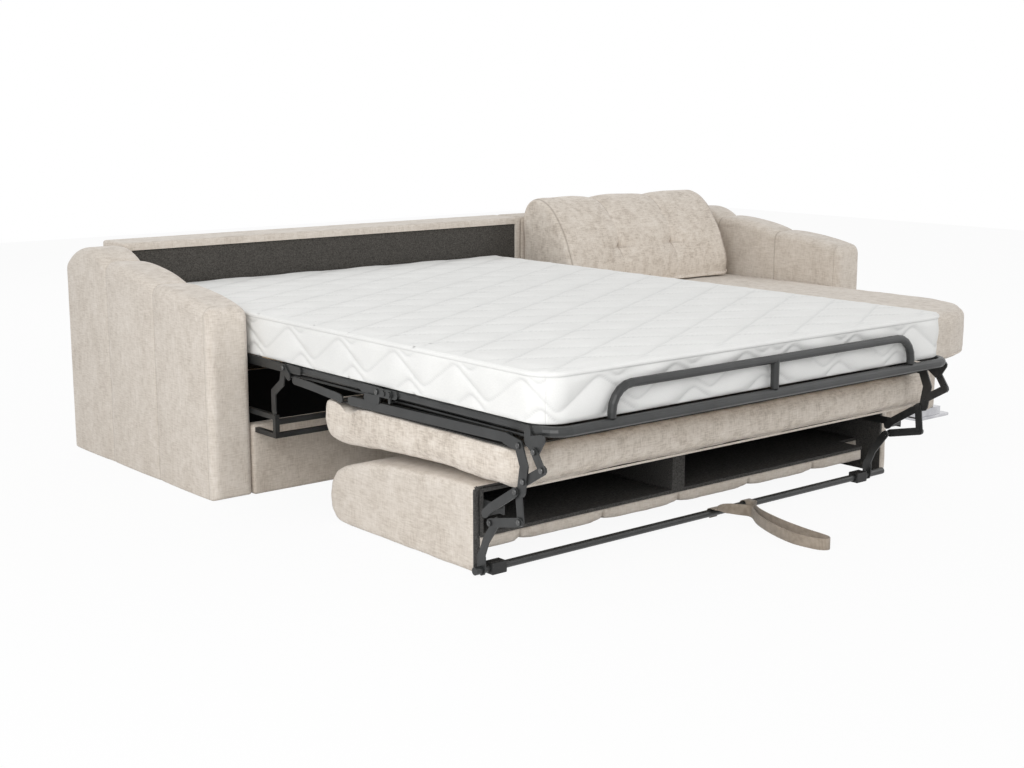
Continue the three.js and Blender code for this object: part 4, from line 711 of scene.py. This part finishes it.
back_felt = felt_finish("grey_felt", tone(92, 89, 85), tone(58, 56, 53), 240.0)
cell_felt = felt_finish("charcoal_cloth", tone(92, 91, 89), tone(58, 57, 56), 300.0)
bay_painted_shade = felt_finish("black_bay_painted_shade", tone(30, 30, 30), tone(16, 16, 16), 300.0)
# Black painted shade on the walls of the bay under the bed: the back panel's face below the deck
# and the left arm's inner face.
faced(back_cover, bay_painted_shade, lambda p, n: (n[:, 1] < -0.7) & (p[:, 2] < DECK_LEVEL - 0.002)
      & (p[:, 0] < BAY_RIGHT))
faced(arm_left, bay_painted_shade, lambda p, n: (n[:, 0] > 0.9) & (p[:, 2] < BED_LEVEL)
      & (p[:, 1] > BAY_FRONT))
dress(back_felt, "back_lining")
dress(cell_felt, "backrest_lining", "seat_liner")


# Chaise: a boxed base on a chromed skid, and a long foam seat with a rounded front corner,
# crowned over its middle and piped round its bottom edge.
CHAISE_CORNER = 0.34
CHAISE_BASE_CORNER = 0.20
BASE_EDGE = 0.008
BASE_SETBACK = 0.10
BASE_ARM_GAP = 0.010
SEAT_EDGE = 0.030
SEAT_CROWN = 0.012
SEAT_TOP = 0.396
CHAISE_STEP = 0.014
CHAISE_CRUMPLES = ((0.13, 0.0022), (0.035, 0.0005))
PIPING_RADIUS = 0.0032
PIPING_SPACING = 0.008
BEAD_SIDES = 8


def new_tree(name, *sizes):
    """A Geometry Nodes tree that is given geometry, the named sizes and a material."""
    tree = bpy.data.node_groups.new(name, "GeometryNodeTree")
    sizes = [(size, "Float") for size in sizes]
    for label, kind in (("Geometry", "Geometry"), *sizes, ("Material", "Material")):
        tree.interface.new_socket(label, in_out="INPUT", socket_type="NodeSocket" + kind)
    tree.interface.new_socket("Geometry", in_out="OUTPUT", socket_type="NodeSocketGeometry")
    return tree, wired(tree, "NodeGroupInput").outputs


def path_tree():
    """A round bead, piping or wire along a path, with its radius as an input."""
    tree, given = new_tree("bead_on_path", "Radius", "Spacing")
    curve = wired(tree, "GeometryNodeMeshToCurve", {"Mesh": given["Geometry"]})
    curve = wired(tree, "GeometryNodeResampleCurve", {"Curve": curve, "Length": given["Spacing"]},
                  mode="LENGTH")
    section = wired(tree, "GeometryNodeCurvePrimitiveCircle",
                    {"Resolution": BEAD_SIDES, "Radius": given["Radius"]})
    bead = wired(tree, "GeometryNodeCurveToMesh",
                 {"Curve": curve, "Profile Curve": section, "Fill Caps": True})
    bead = wired(tree, "GeometryNodeSetShadeSmooth", {"Geometry": bead})
    bead = wired(tree, "GeometryNodeSetMaterial", {"Geometry": bead, "Material": given["Material"]})
    wired(tree, "NodeGroupOutput", {0: bead})
    return tree


def settled(piece):
    """Puts what a piece's modifiers make in place of its mesh."""
    graph = bpy.context.evaluated_depsgraph_get()
    made = bpy.data.meshes.new_from_object(piece.evaluated_get(graph))
    before = piece.data
    made.name = before.name
    piece.modifiers.clear()
    piece.data = made
    bpy.data.meshes.remove(before)


def grown(name, points, edges, tree, **sizes):
    """The plain mesh that a tree makes on those points and edges."""
    mesh = bpy.data.meshes.new(name)
    mesh.from_pydata([tuple(p) for p in points], edges, [])
    piece = shown(name, mesh)
    modifier = piece.modifiers.new("grow", "NODES")
    modifier.node_group = tree
    for item in tree.interface.items_tree:
        if item.in_out == "INPUT" and item.name in sizes:
            modifier[item.identifier] = sizes[item.name]
    settled(piece)
    return piece


bead_tree = path_tree()


def piping(name, points, finish, body, closed=True, radius=PIPING_RADIUS):
    count = len(points)
    edges = [(i, i + 1) for i in range(count - 1)] + ([(count - 1, 0)] if closed else [])
    bead = grown(name, points, edges, bead_tree, Radius=radius, Spacing=PIPING_SPACING,
                 Material=finish.material)
    unmarked(bead)
    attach(bead, body)


def plan_outline(corners, turn, turn_steps, level):
    """Points at one level round the corners, each given with the steps to the next. They start
    at the rear left, and the third one, at the front right, is rounded."""
    line = []
    for number, (x, y, count) in enumerate(corners):
        end_x, end_y, _ = corners[(number + 1) % len(corners)]
        if number == 1:
            end_x -= turn
        if number == 2:
            angles = [0.5 * math.pi * i / turn_steps for i in range(turn_steps)]
            line += [(x - turn + turn * math.sin(angle), y + turn - turn * math.cos(angle))
                     for angle in angles]
            y += turn
        line += zip(np.linspace(x, end_x, count)[:-1], np.linspace(y, end_y, count)[:-1])
    return [(x, y, level) for x, y in line]


def chaise_seat():
    low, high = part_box("chaise_seat")
    xs, ys = (edged(low[i], high[i], CHAISE_STEP, SEAT_EDGE) for i in range(2))
    points, faces = box_shell(xs, ys, edged(low.z, SEAT_TOP, 0.012, SEAT_EDGE))
    points = rounded_box(points, low, (high.x, high.y, SEAT_TOP), SEAT_EDGE)
    points = rounded_upright(points, high.x, low.y, 1, -1, CHAISE_CORNER)
    seat = facing_out(new_piece("chaise_seat_cover", points, faces, cover))
    places, _ = vertex_arrays(seat)
    across = np.clip((places[:, 0] - low.x) / (high.x - low.x), 0, 1)
    along = np.clip((places[:, 1] - low.y) / (high.y - low.y), 0, 1)
    crown = (1 - np.abs(2 * across - 1) ** 3) * (1 - np.abs(2 * along - 1) ** 5)
    on_top = places[:, 2] > SEAT_TOP - 0.004
    places[on_top, 2] += SEAT_CROWN * crown[on_top]
    moved(seat, places)
    for size, height in CHAISE_CRUMPLES:
        crumpled(seat, size, height)
    unmarked(seat)
    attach(seat, "sofa_base")
    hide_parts("chaise_seat")
    inset = SEAT_EDGE * 0.12
    x0, x1, y0, y1 = low.x + inset, high.x - inset, low.y + inset, high.y - inset
    line = plan_outline([(x0, y1, 60), (x0, y0, 30), (x1, y0, 50), (x1, y1, 30)],
                        CHAISE_CORNER - inset, 24, low.z + SEAT_EDGE * 0.5)
    piping("seat_piping_low", line, cover, "sofa_base")


def chaise_base():
    low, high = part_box("chaise_base")
    right = high.x - BASE_SETBACK
    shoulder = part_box("right_arm")[0].y - BASE_ARM_GAP
    rings = []
    for level in edged(low.z, high.z, 0.016, BASE_EDGE):
        drawn = drawn_by_end(level, low.z, high.z, BASE_EDGE)
        x0, x1, x2 = low.x + drawn, right - drawn, high.x - drawn
        y0, y1, y2 = low.y + drawn, shoulder + drawn, high.y - drawn
        rings.append(np.array(plan_outline(
            [(x0, y2, 80), (x0, y0, 40), (x1, y0, 20), (x1, y1, 8), (x2, y1, 60), (x2, y2, 40)],
            CHAISE_BASE_CORNER - drawn, 16, level)))
    points, faces = closed_loft(rings, cap_steps=2)
    # The base's cover is the darker copy, painted shade; its left face in the bay is painted black,
    # painted shade.
    base = facing_out(new_piece("chaise_base_cover", points, faces, painted_shade_cover))
    unmarked(base)
    faced(base, bay_painted_shade, lambda p, n: (n[:, 0] < -0.9) & (p[:, 1] > BAY_FRONT))
    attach(base, "sofa_base")
    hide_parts("chaise_base")


def metal_finish(name, light, dark, low_gloss, high_gloss, metallic, grain=900.0):
    finish = Finish(name, roughness=low_gloss, metallic=metallic)
    clouds = finish.spots(14.0, detail=4.0)
    peel = finish.spots(grain, detail=2.0)
    finish.colours(clouds, (0.35, dark), (0.65, light))
    finish.uneven_gloss(finish.sum((clouds, 0.6), (peel, 0.4)), low_gloss, high_gloss)
    finish.bump(peel, 0.0003, 0.4)
    return finish


chrome = metal_finish("chrome_plate", tone(205, 205, 208), tone(176, 176, 180), 0.10, 0.24, 1.0)
moulded = metal_finish("black_moulding", tone(34, 34, 34), tone(20, 20, 20), 0.5, 0.7, 0.0, 500.0)
chaise_seat()
chaise_base()
dress(chrome, "chaise_skid_foot")
dress(moulded, "chaise_runner_left", "chaise_runner_right")


# Chaise back cushion: three stuffed lobes in one cover, boxed at both ends, with a tuft pulled
# in at each of the two joints between the lobes.
LOBE_PITCH = 0.284
LOBES = 3
# Each row is a depth, a rise and the share of the channel between two lobes.
CUSHION_PROFILE = [
    (0.03, 0.02, 0), (0.1, 0, 0), (0.93, 0, 0), (0.985, 0.05, 0.2), (1, 0.15, 0.25),
    (0.98, 0.26, 0.25), (0.945, 0.35, 0.3), (0.91, 0.43, 0.3), (0.865, 0.53, 0.3),
    (0.79, 0.65, 0.45), (0.705, 0.755, 0.7), (0.6, 0.86, 0.9), (0.49, 0.937, 1),
    (0.37, 0.985, 1), (0.25, 1, 1), (0.12, 0.97, 1), (0.03, 0.88, 0.8), (0, 0.7, 0.3),
]
PROFILE_STEPS = 5
TUFT_RISE = 0.43
TUFT_DEPTH = 0.034
LOBE_CHANNEL = 0.013
CREASE_WIDTH = 0.0025
CUSHION_END_RADIUS = 0.034
CUSHION_END_BULGE = 0.006
CLOTH_FRAMES = 20
CLOTH = {"use_pressure": True, "uniform_pressure_force": 4.0, "quality": 4, "mass": 0.3,
         "tension_stiffness": 15, "compression_stiffness": 15, "bending_stiffness": 1.5,
         "vertex_group_mass": "held"}


def inflated(piece, held, cap):
    """Swells a cover by cloth simulation; held points stay, and no point moves past the cap."""
    group = piece.vertex_groups.new(name="held")
    for index, share in enumerate(held):
        if share > 0.02:
            group.add([index], float(min(share, 1.0)), "REPLACE")
    modifier = piece.modifiers.new("stuffing", "CLOTH")
    for name, value in CLOTH.items():
        setattr(modifier.settings, name, value)
    modifier.settings.effector_weights.gravity = 0.0
    modifier.point_cache.frame_start = 1
    modifier.point_cache.frame_end = CLOTH_FRAMES
    rest, _ = vertex_arrays(piece)
    for number in range(1, CLOTH_FRAMES + 1):
        scene.frame_set(number)
    swollen = piece.evaluated_get(bpy.context.evaluated_depsgraph_get())
    travel = vectors(swollen.to_mesh().vertices, "co") - rest
    swollen.to_mesh_clear()
    piece.modifiers.remove(modifier)
    piece.vertex_groups.remove(group)
    travel *= np.minimum(1.0, cap / np.maximum(np.linalg.norm(travel, axis=1), TINY))[:, None]
    moved(piece, rest + travel)
    scene.frame_set(1)


def subdivided(piece):
    modifier = piece.modifiers.new("finer", "SUBSURF")
    modifier.levels = modifier.render_levels = 1
    settled(piece)


def pinch(distance, sharp, wide, soft=0.5):
    """One at a stitch, falling away sharply beside it and by the soft share over a wide reach."""
    return (1 - soft) * math.exp(-distance / sharp) + soft * math.exp(-(distance / wide) ** 2)


def closed_curve(points):
    return np.array(smoothed(points + points[:1], PROFILE_STEPS)[:-1])


def chaise_back_cushion():
    low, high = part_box("chaise_back_cushion")
    depth, height = high.y - low.y, high.z - low.z
    joints = [low.x + i * LOBE_PITCH for i in range(LOBES + 1)]
    profile = closed_curve(CUSHION_PROFILE)
    profile[:, 2] = np.clip(profile[:, 2], 0, 1)
    middle = np.array((high.y - 0.45 * depth, low.z + 0.45 * height))
    rings, tufts = [], joints[1:-1]
    places = stations(low.x, joints[-1], CHAISE_STEP, CUSHION_END_RADIUS, tufts, fine=0.004,
                      reach=0.020)
    for x in places:
        edge = drawn_by_end(x, low.x, joints[-1], CUSHION_END_RADIUS)
        gap = min(abs(x - t) for t in tufts)
        channel = LOBE_CHANNEL * pinch(gap, 0.010, 0.05, soft=0.45)
        pull = TUFT_DEPTH * pinch(gap, 0.012, 0.055)
        ring = []
        for back, rise, channelled in profile:
            p = np.array((high.y - back * depth, low.z + rise * height))
            tuft = pull * pinch(abs(rise - TUFT_RISE) * height, 0.010, 0.05) * (back > 0.6)
            inward = middle - p
            p = p + inward / np.linalg.norm(inward) * (channel * channelled + tuft + 0.6 * edge)
            ring.append((x, p[0], max(p[1], low.z)))
        rings.append(np.array(ring))
    points, faces = closed_loft(rings, bulge=CUSHION_END_BULGE)
    cushion = facing_out(new_piece("chaise_back_cushion_cover", points, faces, sat_on_cover))

    def at_tufts(places, width, reach):
        """One at the tufts, falling away over width to both sides and reach up and down."""
        face = places[:, 1] < high.y - 0.5 * depth
        level = low.z + TUFT_RISE * height
        return near(places[:, 0], tufts, width) * near(places[:, 2], [level], reach) * face

    places, _ = vertex_arrays(cushion)
    crest = near(places[:, 0], tufts, 0.008) * (places[:, 2] > low.z + 0.75 * height)
    rested = near(places[:, 2], [low.z], 0.02)
    ends = near(places[:, 0], [low.x, joints[-1]], 0.012)
    held = np.max([at_tufts(places, 0.018, 0.02), crest, rested, ends], axis=0)
    inflated(cushion, held, cap=0.007)
    subdivided(cushion)
    places, _ = vertex_arrays(cushion)
    # The marks below are painted shade: in the tufts' creases, along the crest over each joint and
    # along the boxing seams at both ends.
    upright = at_tufts(places, CREASE_WIDTH, 0.028)
    level_crease = at_tufts(places, 0.05, CREASE_WIDTH)
    crest = near(places[:, 0], tufts, CREASE_WIDTH) * (places[:, 2] > low.z + 0.8 * height)
    crumpled(cushion, 0.028, 0.0010, at_tufts(places, 0.06, 0.06))
    crumpled(cushion, 0.11, 0.0022)
    boxing_shade = near(places[:, 0], [low.x + 0.013, joints[-1] - 0.013], 0.0028)
    boxing_shade *= places[:, 2] > low.z + 0.01
    mark_seam_shade(cushion, np.max([upright, level_crease * 0.7, crest * 0.5, boxing_shade], axis=0))
    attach(cushion, "sofa_base")
    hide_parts("chaise_back_cushion")


chaise_back_cushion()


# Frame steel: tube and sheet under a satin black powder coat, and the blackened heads of the
# pivot bolts. The slats are of lacquered beech, the pads of black plastic.
steel = metal_finish("satin_powder_coat", tone(50, 51, 51), tone(36, 37, 37), 0.30, 0.45, 0.0)
bolt_steel = metal_finish("blackened_bolt", tone(112, 112, 112), tone(70, 70, 70), 0.16, 0.3, 0.6)
BOLT_HEAD_RADIUS = 0.0068
BOLT_HEAD_RISE = 0.0022
MECHANISM_WALLS = (-1.3, 0.235)
BOLTS = {
    "sofa_base": [(0.077125, 0.392, 0.0055)],
    "foot_section": [(-0.983875, 0.346, 0.0052), (-0.371875, 0.392, 0.0055),
                     (-1.009875, 0.308, 0.0055), (-0.929875, 0.352, 0.0055),
                     (-0.945875, 0.270, 0.0055)],
    "backrest": [(-0.923875, 0.243, 0.001)],
    "support_leg": [(-0.931875, 0.172, 0.0055), (-0.825875, 0.148, 0.0055)],
}


def bolt_tree():
    """Domed bolt heads at the points of a mesh, their axis along x."""
    tree, given = new_tree("bolt_heads", "Radius", "Rise")
    dome = wired(tree, "GeometryNodeMeshUVSphere", {"Segments": 16, "Rings": 8, "Radius": 1.0})
    size = wired(tree, "ShaderNodeCombineXYZ", {"X": given["Rise"], "Y": given["Radius"],
                                                "Z": given["Radius"]})
    dome = wired(tree, "GeometryNodeTransform", {"Geometry": dome, "Scale": size})
    dome = wired(tree, "GeometryNodeSetShadeSmooth", {"Geometry": dome})
    heads = wired(tree, "GeometryNodeInstanceOnPoints", {"Points": given["Geometry"],
                                                         "Instance": dome})
    heads = wired(tree, "GeometryNodeRealizeInstances", {"Geometry": heads})
    heads = wired(tree, "GeometryNodeSetMaterial", {"Geometry": heads,
                                                    "Material": given["Material"]})
    wired(tree, "NodeGroupOutput", {0: heads})
    return tree


def bolt_heads():
    tree = bolt_tree()
    for body, places in BOLTS.items():
        points = []
        for y, z, inset in places:
            points += [(MECHANISM_WALLS[0] + inset, y, z), (MECHANISM_WALLS[1] - inset, y, z)]
        heads = grown("bolt_heads_" + body, points, [], tree, Radius=BOLT_HEAD_RADIUS,
                      Rise=BOLT_HEAD_RISE, Material=bolt_steel.material)
        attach(heads, body)


def beech_finish():
    finish = Finish("lacquered_beech", roughness=0.42, coat=0.15)
    grain = finish.spots(26.0, stretch=(0.12, 1.0, 1.0), detail=5.0, roughness=0.6)
    flecks = finish.spots(420.0, stretch=(0.06, 1.0, 1.0), detail=1.0)
    share = finish.sum((grain, 0.75), (flecks, 0.25))
    finish.colours(share, (0.35, tone(184, 150, 104)), (0.65, tone(214, 184, 140)))
    finish.bump(flecks, 0.0002, 0.4)
    return finish


STEEL_NODES = ["mount_bracket", "foot_frame", "retainer_rail", "foot_bar"]
for pair in ("swing_leg", "head_rail", "mid_rail", "mid_rod", "foot_rod", "hinge_plate",
             "seat_bar", "control_arm", "side_plate", "scissor_link", "backrest_arm",
             "vertical_link", "leg_link", "leg_plate"):
    STEEL_NODES += [pair + "_left", pair + "_right"]
dress(steel, *STEEL_NODES)
dress(beech_finish(), "head_slats", "mid_slats", "foot_slats")
dress(moulded, "foot_pad_left", "foot_pad_right")
bolt_heads()


# Mattress: a sprung mattress in five lengths of one quilted knit cover, with a white tape edge
# round its top. The two narrow lengths lie over the fold joints and stay in place.
QUILT_ROW = 0.078
QUILT_PERIOD = 0.270
QUILT_SWING = 0.034
QUILT_SHIFT = 0.5
BORDER_ROW = 0.064
BORDER_PERIOD = 0.248
BORDER_SWING = 0.034
BORDER_SHIFT = 0.26
QUILT_PUFF = 0.0060
BORDER_PUFF = 0.0056
CUT_DRAW_IN = 0.007
WAVE_POINT = 0.94
STITCH_WIDTH = 0.0030
TAPE_RISE = 0.00294
TAPE_DROP = 0.007
TAPE_HALF_WIDTH = 0.005
# Place and width of the painted shade line below the tape.
TAPE_SHADE_DROP = 0.0125
TAPE_SHADE_WIDTH = 0.0014
TOUCH = 1e-6
FACE_BAND = 1e-4
MATTRESS_CORNER = 0.07
MATTRESS_EDGE = 0.012
MATTRESS_STEP = 0.0064
BORDER_STEP = 0.004
TAPE_STEP = 0.0015
TAPE_STEPS = 11
JOIN_OVERLAP = 0.0002
TOP_SINK = 0.0065


def ticking_finish():
    finish = Finish("quilted_ticking", roughness=0.8, sheen=0.1, specular=0.3)
    knit = finish.spots(420.0, stretch=(1.0, 0.35, 1.0), detail=2.0)
    clouds = finish.spots(9.0, detail=2.0)
    share = finish.sum((clouds, 0.5), (knit, 0.5))
    finish.colours(share, (0.3, tone(227, 227, 225)), (0.7, tone(236, 236, 234)))
    # Painted shade along the quilting stitches and below the tape.
    finish.painted_shade_at_seams(tone(186, 187, 186), 0.35)
    finish.bump(knit, 0.0010, 0.25)
    return finish


def quilting(across, along, row, period, swing, shift):
    """Height share of the puffed cells between wavy stitch lines, and the stitch lines."""
    def line(number):
        turn = np.cos(2 * math.pi * (across / period + number * shift))
        return number * row + swing * np.arcsin(WAVE_POINT * turn) / math.asin(WAVE_POINT)

    first = np.floor(along / row)
    below = np.full(len(along), -1e9)
    above = np.full(len(along), 1e9)
    for step in range(-2, 4):
        place = line(first + step)
        below = np.where(place <= along, np.maximum(below, place), below)
        above = np.where(place > along, np.minimum(above, place), above)
    gap = above - below
    share = np.clip((along - below) / gap, 0, 1)
    puff = np.sin(math.pi * share ** 0.8) * np.sqrt(np.minimum(gap / row, 1.5))
    stitch = np.exp(-(np.minimum(along - below, above - along) / STITCH_WIDTH) ** 2)
    return puff, stitch


def mattress_length(name, node, end=0):
    """One length of the mattress; end is 1 at its head end, -1 at its foot end, else 0."""
    low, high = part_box(node)
    low = Vector((low.x, low.y - (0 if end < 0 else JOIN_OVERLAP), low.z))
    high = Vector((high.x, high.y + (0 if end > 0 else JOIN_OVERLAP), high.z - TOP_SINK))
    ys = list(np.linspace(low.y, high.y, round((high.y - low.y) / MATTRESS_STEP) + 1))
    turned = edged(low.y, high.y, MATTRESS_STEP, MATTRESS_EDGE)
    if end:
        ys = turned[:-EDGE_RUNS] + [high.y] if end < 0 else [low.y] + turned[EDGE_RUNS:]
    zs = edged(low.z, high.z, BORDER_STEP, 0.002)
    zs = sorted(set(zs) | {high.z - k * TAPE_STEP for k in range(1, TAPE_STEPS + 1)})
    points, faces = box_shell(edged(low.x, high.x, MATTRESS_STEP, MATTRESS_EDGE), ys, zs)
    past_cut = Vector((0, 10.0, 0))
    points = rounded_box(points, low - past_cut * (end >= 0), high + past_cut * (end <= 0),
                         MATTRESS_EDGE * 0.35)
    for side, x in ((-1, low.x), (1, high.x)):
        y = low.y if end < 0 else high.y
        points = rounded_upright(points, x, y, side, end, MATTRESS_CORNER)
    piece = facing_out(new_piece(name, points, faces, ticking))
    places, outward = vertex_arrays(piece)
    x, y, z = places.T
    cut = ((y < low.y + TOUCH) & (end >= 0)) | ((y > high.y - TOUCH) & (end <= 0))
    skin = (z < low.z + TOUCH) | (z > high.z - TOUCH) | (x < low.x + TOUCH) | (x > high.x - TOUCH)
    top = z > high.z - FACE_BAND
    side = (~top) & (z > low.z + FACE_BAND)
    middle_x = (low.x + high.x) / 2
    from_edge = (high.x - low.x) / 2 - np.abs(x - middle_x)
    margin = from_edge
    if end:
        margin = np.minimum(margin, y - low.y if end < 0 else high.y - y)
    fade = np.clip((margin - 0.010) / 0.03, 0, 1)
    puff, stitch = quilting(x, y, QUILT_ROW, QUILT_PERIOD, QUILT_SWING, QUILT_SHIFT)
    border_puff, border_stitch = quilting(-y - end * from_edge, z - low.z, BORDER_ROW,
                                          BORDER_PERIOD, BORDER_SWING, BORDER_SHIFT)
    below_top = high.z - z
    border = np.clip((below_top - 0.012) / 0.014, 0, 1) * np.clip((z - low.z) / 0.010, 0, 1)
    tape = np.sqrt(np.clip(1 - ((below_top - TAPE_DROP) / TAPE_HALF_WIDTH) ** 2, 0, 1))
    border_lift = BORDER_PUFF * (border_puff - 0.65) * border + TAPE_RISE * tape
    lift = np.where(top, QUILT_PUFF * puff * fade, 0.0) + np.where(side, border_lift, 0.0)
    inside_cut = cut & ~skin
    outward[side, 2] = 0
    outward[cut, 1] = 0
    outward[inside_cut] = 0
    outward /= np.maximum(np.linalg.norm(outward, axis=1), TINY)[:, None]
    places[inside_cut, 0] -= np.sign(x[inside_cut] - middle_x) * CUT_DRAW_IN
    moved(piece, places + outward * lift[:, None])
    # Painted shade in the quilting's stitch lines and along the lower edge of the tape.
    tape_shade = near(below_top, [TAPE_SHADE_DROP], TAPE_SHADE_WIDTH)
    stitch_shade = np.where(top, stitch * fade, np.where(side, border_stitch * border, 0.0))
    mark_seam_shade(piece, np.maximum(stitch_shade, np.where(side, tape_shade, 0.0)))
    for edge in piece.data.edges:
        edge.use_edge_sharp = all(cut[v] and skin[v] for v in edge.vertices)
    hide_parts(node)
    return piece


ticking = ticking_finish()
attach(mattress_length("mattress_cover_head", "mattress_head", 1), "sofa_base")
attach(mattress_length("mattress_cover_mid", "mattress_mid"), "mid_section")
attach(mattress_length("mattress_cover_foot", "mattress_foot", -1), "foot_section")
for fold, *bodies in (("head", "sofa_base", "mid_section"),
                      ("foot", "mid_section", "foot_section")):
    strip = mattress_length("mattress_cover_fold_" + fold, "mattress_fold_" + fold)
    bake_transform(strip)


# Seat cushion: the sofa's seat, hanging face down under the foot section. Foam with a rolled
# front edge, boxed at both ends, its cover piped along the lower front edge.
SEAT_PROFILE = [
    (0, 0.52), (0.006, 0.2), (0.02, -0.02), (0.065, -0.12), (0.11, -0.14), (0.2, -0.09),
    (0.32, 0), (0.62, 0.09), (0.85, 0.04), (0.955, 0.08), (0.99, 0.22), (1, 0.5),
    (0.993, 0.83), (0.975, 0.96), (0.94, 1), (0.55, 1), (0.25, 0.98), (0.155, 0.86),
    (0.087, 0.97), (0.03, 1), (0.006, 0.85),
]
SEAT_TURN = 11
SEAT_HALF = 52
SEAT_LENGTH = 0.825
SEAT_FACE = 0.230
SEAT_THICKNESS = 0.102
SEAT_SAG = 0.008
SEAT_CRUMPLES = ((0.10, 0.0020), (0.03, 0.0006))
SEAT_STEP = 0.018
SEAT_END_RADIUS = 0.03
SEAT_PIPING_INSET = 0.012


def laddered_loft(rings, rungs, bulge):
    """A body through the rings, each end closed by rungs between the ring's two halves."""
    count, half = len(rings[0]), len(rings[0]) // 2
    points = list(np.vstack(rings))
    faces = ring_faces(len(rings), count)
    axis = rings[-1].mean(axis=0) - rings[0].mean(axis=0)
    axis /= np.linalg.norm(axis)
    for start, away in ((0, -axis), ((len(rings) - 1) * count, axis)):
        index = {}
        for i in range(half + 1):
            one, other = start + i, start + (count - i) % count
            index[i, 0], index[i, rungs] = one, other
            for step in range(1, rungs):
                share = step / rungs
                lift = away * bulge * math.sqrt(4 * share * (1 - share) * 4 * i * (half - i)) / half
                index[i, step] = one if one == other else len(points)
                if one != other:
                    points.append(points[one] * (1 - share) + points[other] * share + lift)
        for i in range(half):
            for step in range(rungs):
                corners = ((i, step), (i + 1, step), (i + 1, step + 1), (i, step + 1))
                loop = list(dict.fromkeys(index[corner] for corner in corners))
                faces.append(tuple(loop if start else loop[::-1]))
    return np.array(points), [face for face in faces if len(face) > 2]


def halves(profile, turn, count):
    """A closed profile respaced to count places before the turn and as many after it."""
    placed = []
    for part in (profile[:turn + 1], np.vstack([profile[turn:], profile[:1]])):
        run = np.concatenate([[0], np.cumsum(np.linalg.norm(np.diff(part, axis=0), axis=1))])
        at = np.linspace(0, run[-1], count, endpoint=False)
        placed.append(np.column_stack([np.interp(at, run, column) for column in part.T]))
    return np.vstack(placed)


def seat_cushion():
    low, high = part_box("seat_cushion")
    nose = high.y
    scaled = closed_curve(SEAT_PROFILE) * (SEAT_LENGTH, SEAT_THICKNESS)
    profile = halves(scaled, SEAT_TURN * PROFILE_STEPS, SEAT_HALF) / (SEAT_LENGTH, SEAT_THICKNESS)
    middle = np.array((nose - SEAT_LENGTH / 2, SEAT_FACE + SEAT_THICKNESS / 2))
    rings = []
    for x in stations(low.x, high.x, SEAT_STEP, SEAT_END_RADIUS):
        share = (x - low.x) / (high.x - low.x)
        edge = drawn_by_end(x, low.x, high.x, SEAT_END_RADIUS)
        ring = []
        for length, rise in profile:
            bow = (1 - (2 * share - 1) ** 2) * math.sin(math.pi * min(max(length, 0), 1))
            y = nose - length * SEAT_LENGTH
            z = SEAT_FACE + rise * SEAT_THICKNESS - (SEAT_SAG * bow if rise < 0.5 else 0)
            y += np.sign(middle[0] - y) * min(edge, abs(middle[0] - y)) / 2
            z += np.sign(middle[1] - z) * (0 if rise > 0.9 else edge / 2)
            ring.append((x, y, z))
        rings.append(np.array(ring))
    points, faces = laddered_loft(rings, rungs=8, bulge=0.010)
    cushion = facing_out(new_piece("seat_cushion_cover", points, faces, sat_on_cover))
    places, _ = vertex_arrays(cushion)
    liner = np.clip((places[:, 2] - SEAT_FACE - 0.7 * SEAT_THICKNESS) / 0.02, 0, 1)
    inflated(cushion, liner, cap=0.005)
    subdivided(cushion)
    for size, height in SEAT_CRUMPLES:
        crumpled(cushion, size, height)
    unmarked(cushion)
    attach(cushion, "foot_section")
    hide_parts("seat_cushion")
    front = nose - SEAT_LENGTH
    line = [(x, front + SEAT_PIPING_INSET, SEAT_FACE + SEAT_PIPING_INSET)
            for x in np.linspace(low.x + SEAT_END_RADIUS, high.x - SEAT_END_RADIUS, 80)]
    piping("seat_cushion_piping", line, cover, "foot_section", closed=False,
           radius=0.003)


seat_cushion()


# Backrest: a hollow box, open to the front while the bed is out. Foam on boards under the
# cover, channelled on its outer face, and stapled round the mouth of its cells.
WELD_DISTANCE = 0.0001
BACKREST_VOXEL = 0.0071
BACKREST_MOUTH = -0.741875
BACKREST_WALLS = (-1.252, 0.298)
BACKREST_SEAMS = [-1.276 + (i + 0.54) * 0.277 for i in range(5)]
BACKREST_LIP_TOP = 0.086
BACKREST_SEAM_DEPTH = 0.005
BACKREST_SEAM_WIDTH = 0.006


def lined(middles, outward):
    """The mouth's rim and the inner sides of the end walls are covered with the lining."""
    x, y, z = middles.T
    left, right = BACKREST_WALLS
    beside = ((z > BACKREST_LIP_TOP + 0.004) & (x < right)) | (x < left + 0.002)
    rim = (outward[:, 1] < -0.6) & (y < BACKREST_MOUTH + 0.012) & beside
    on_right = (outward[:, 0] < -0.6) & (np.abs(x - right) < 0.008)
    on_left = (outward[:, 0] > 0.6) & (np.abs(x - left) < 0.008)
    return rim | on_right | on_left


def backrest_cover():
    shell = shown("backrest_cover", nodes["backrest_shell"].data.copy())
    weld = shell.modifiers.new("weld", "WELD")
    weld.merge_threshold = WELD_DISTANCE
    remesh = shell.modifiers.new("even", "REMESH")
    remesh.mode = "VOXEL"
    remesh.voxel_size = BACKREST_VOXEL
    remesh.use_smooth_shade = True
    soften = shell.modifiers.new("soften", "SMOOTH")
    soften.factor = 0.5
    soften.iterations = 2
    settled(shell)
    shell.data.name = "backrest_cover"
    shell.data.materials.clear()
    shell.data.materials.append(cover.material)
    shell.data.shade_smooth()
    places, outward = vertex_arrays(shell)
    under = np.clip((BACKREST_LIP_TOP - places[:, 2]) / 0.010, 0, 1)
    pull = near(places[:, 0], BACKREST_SEAMS, BACKREST_SEAM_WIDTH) * under
    moved(shell, places - outward * (BACKREST_SEAM_DEPTH * pull)[:, None])
    crumpled(shell, 0.08, 0.0012)
    # Painted shade in the channel seams.
    mark_seam_shade(shell, near(places[:, 0], BACKREST_SEAMS, 0.0032) * under)
    faced(shell, cell_felt, lined)
    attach(shell, "backrest")
    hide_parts("backrest_shell")


backrest_cover()
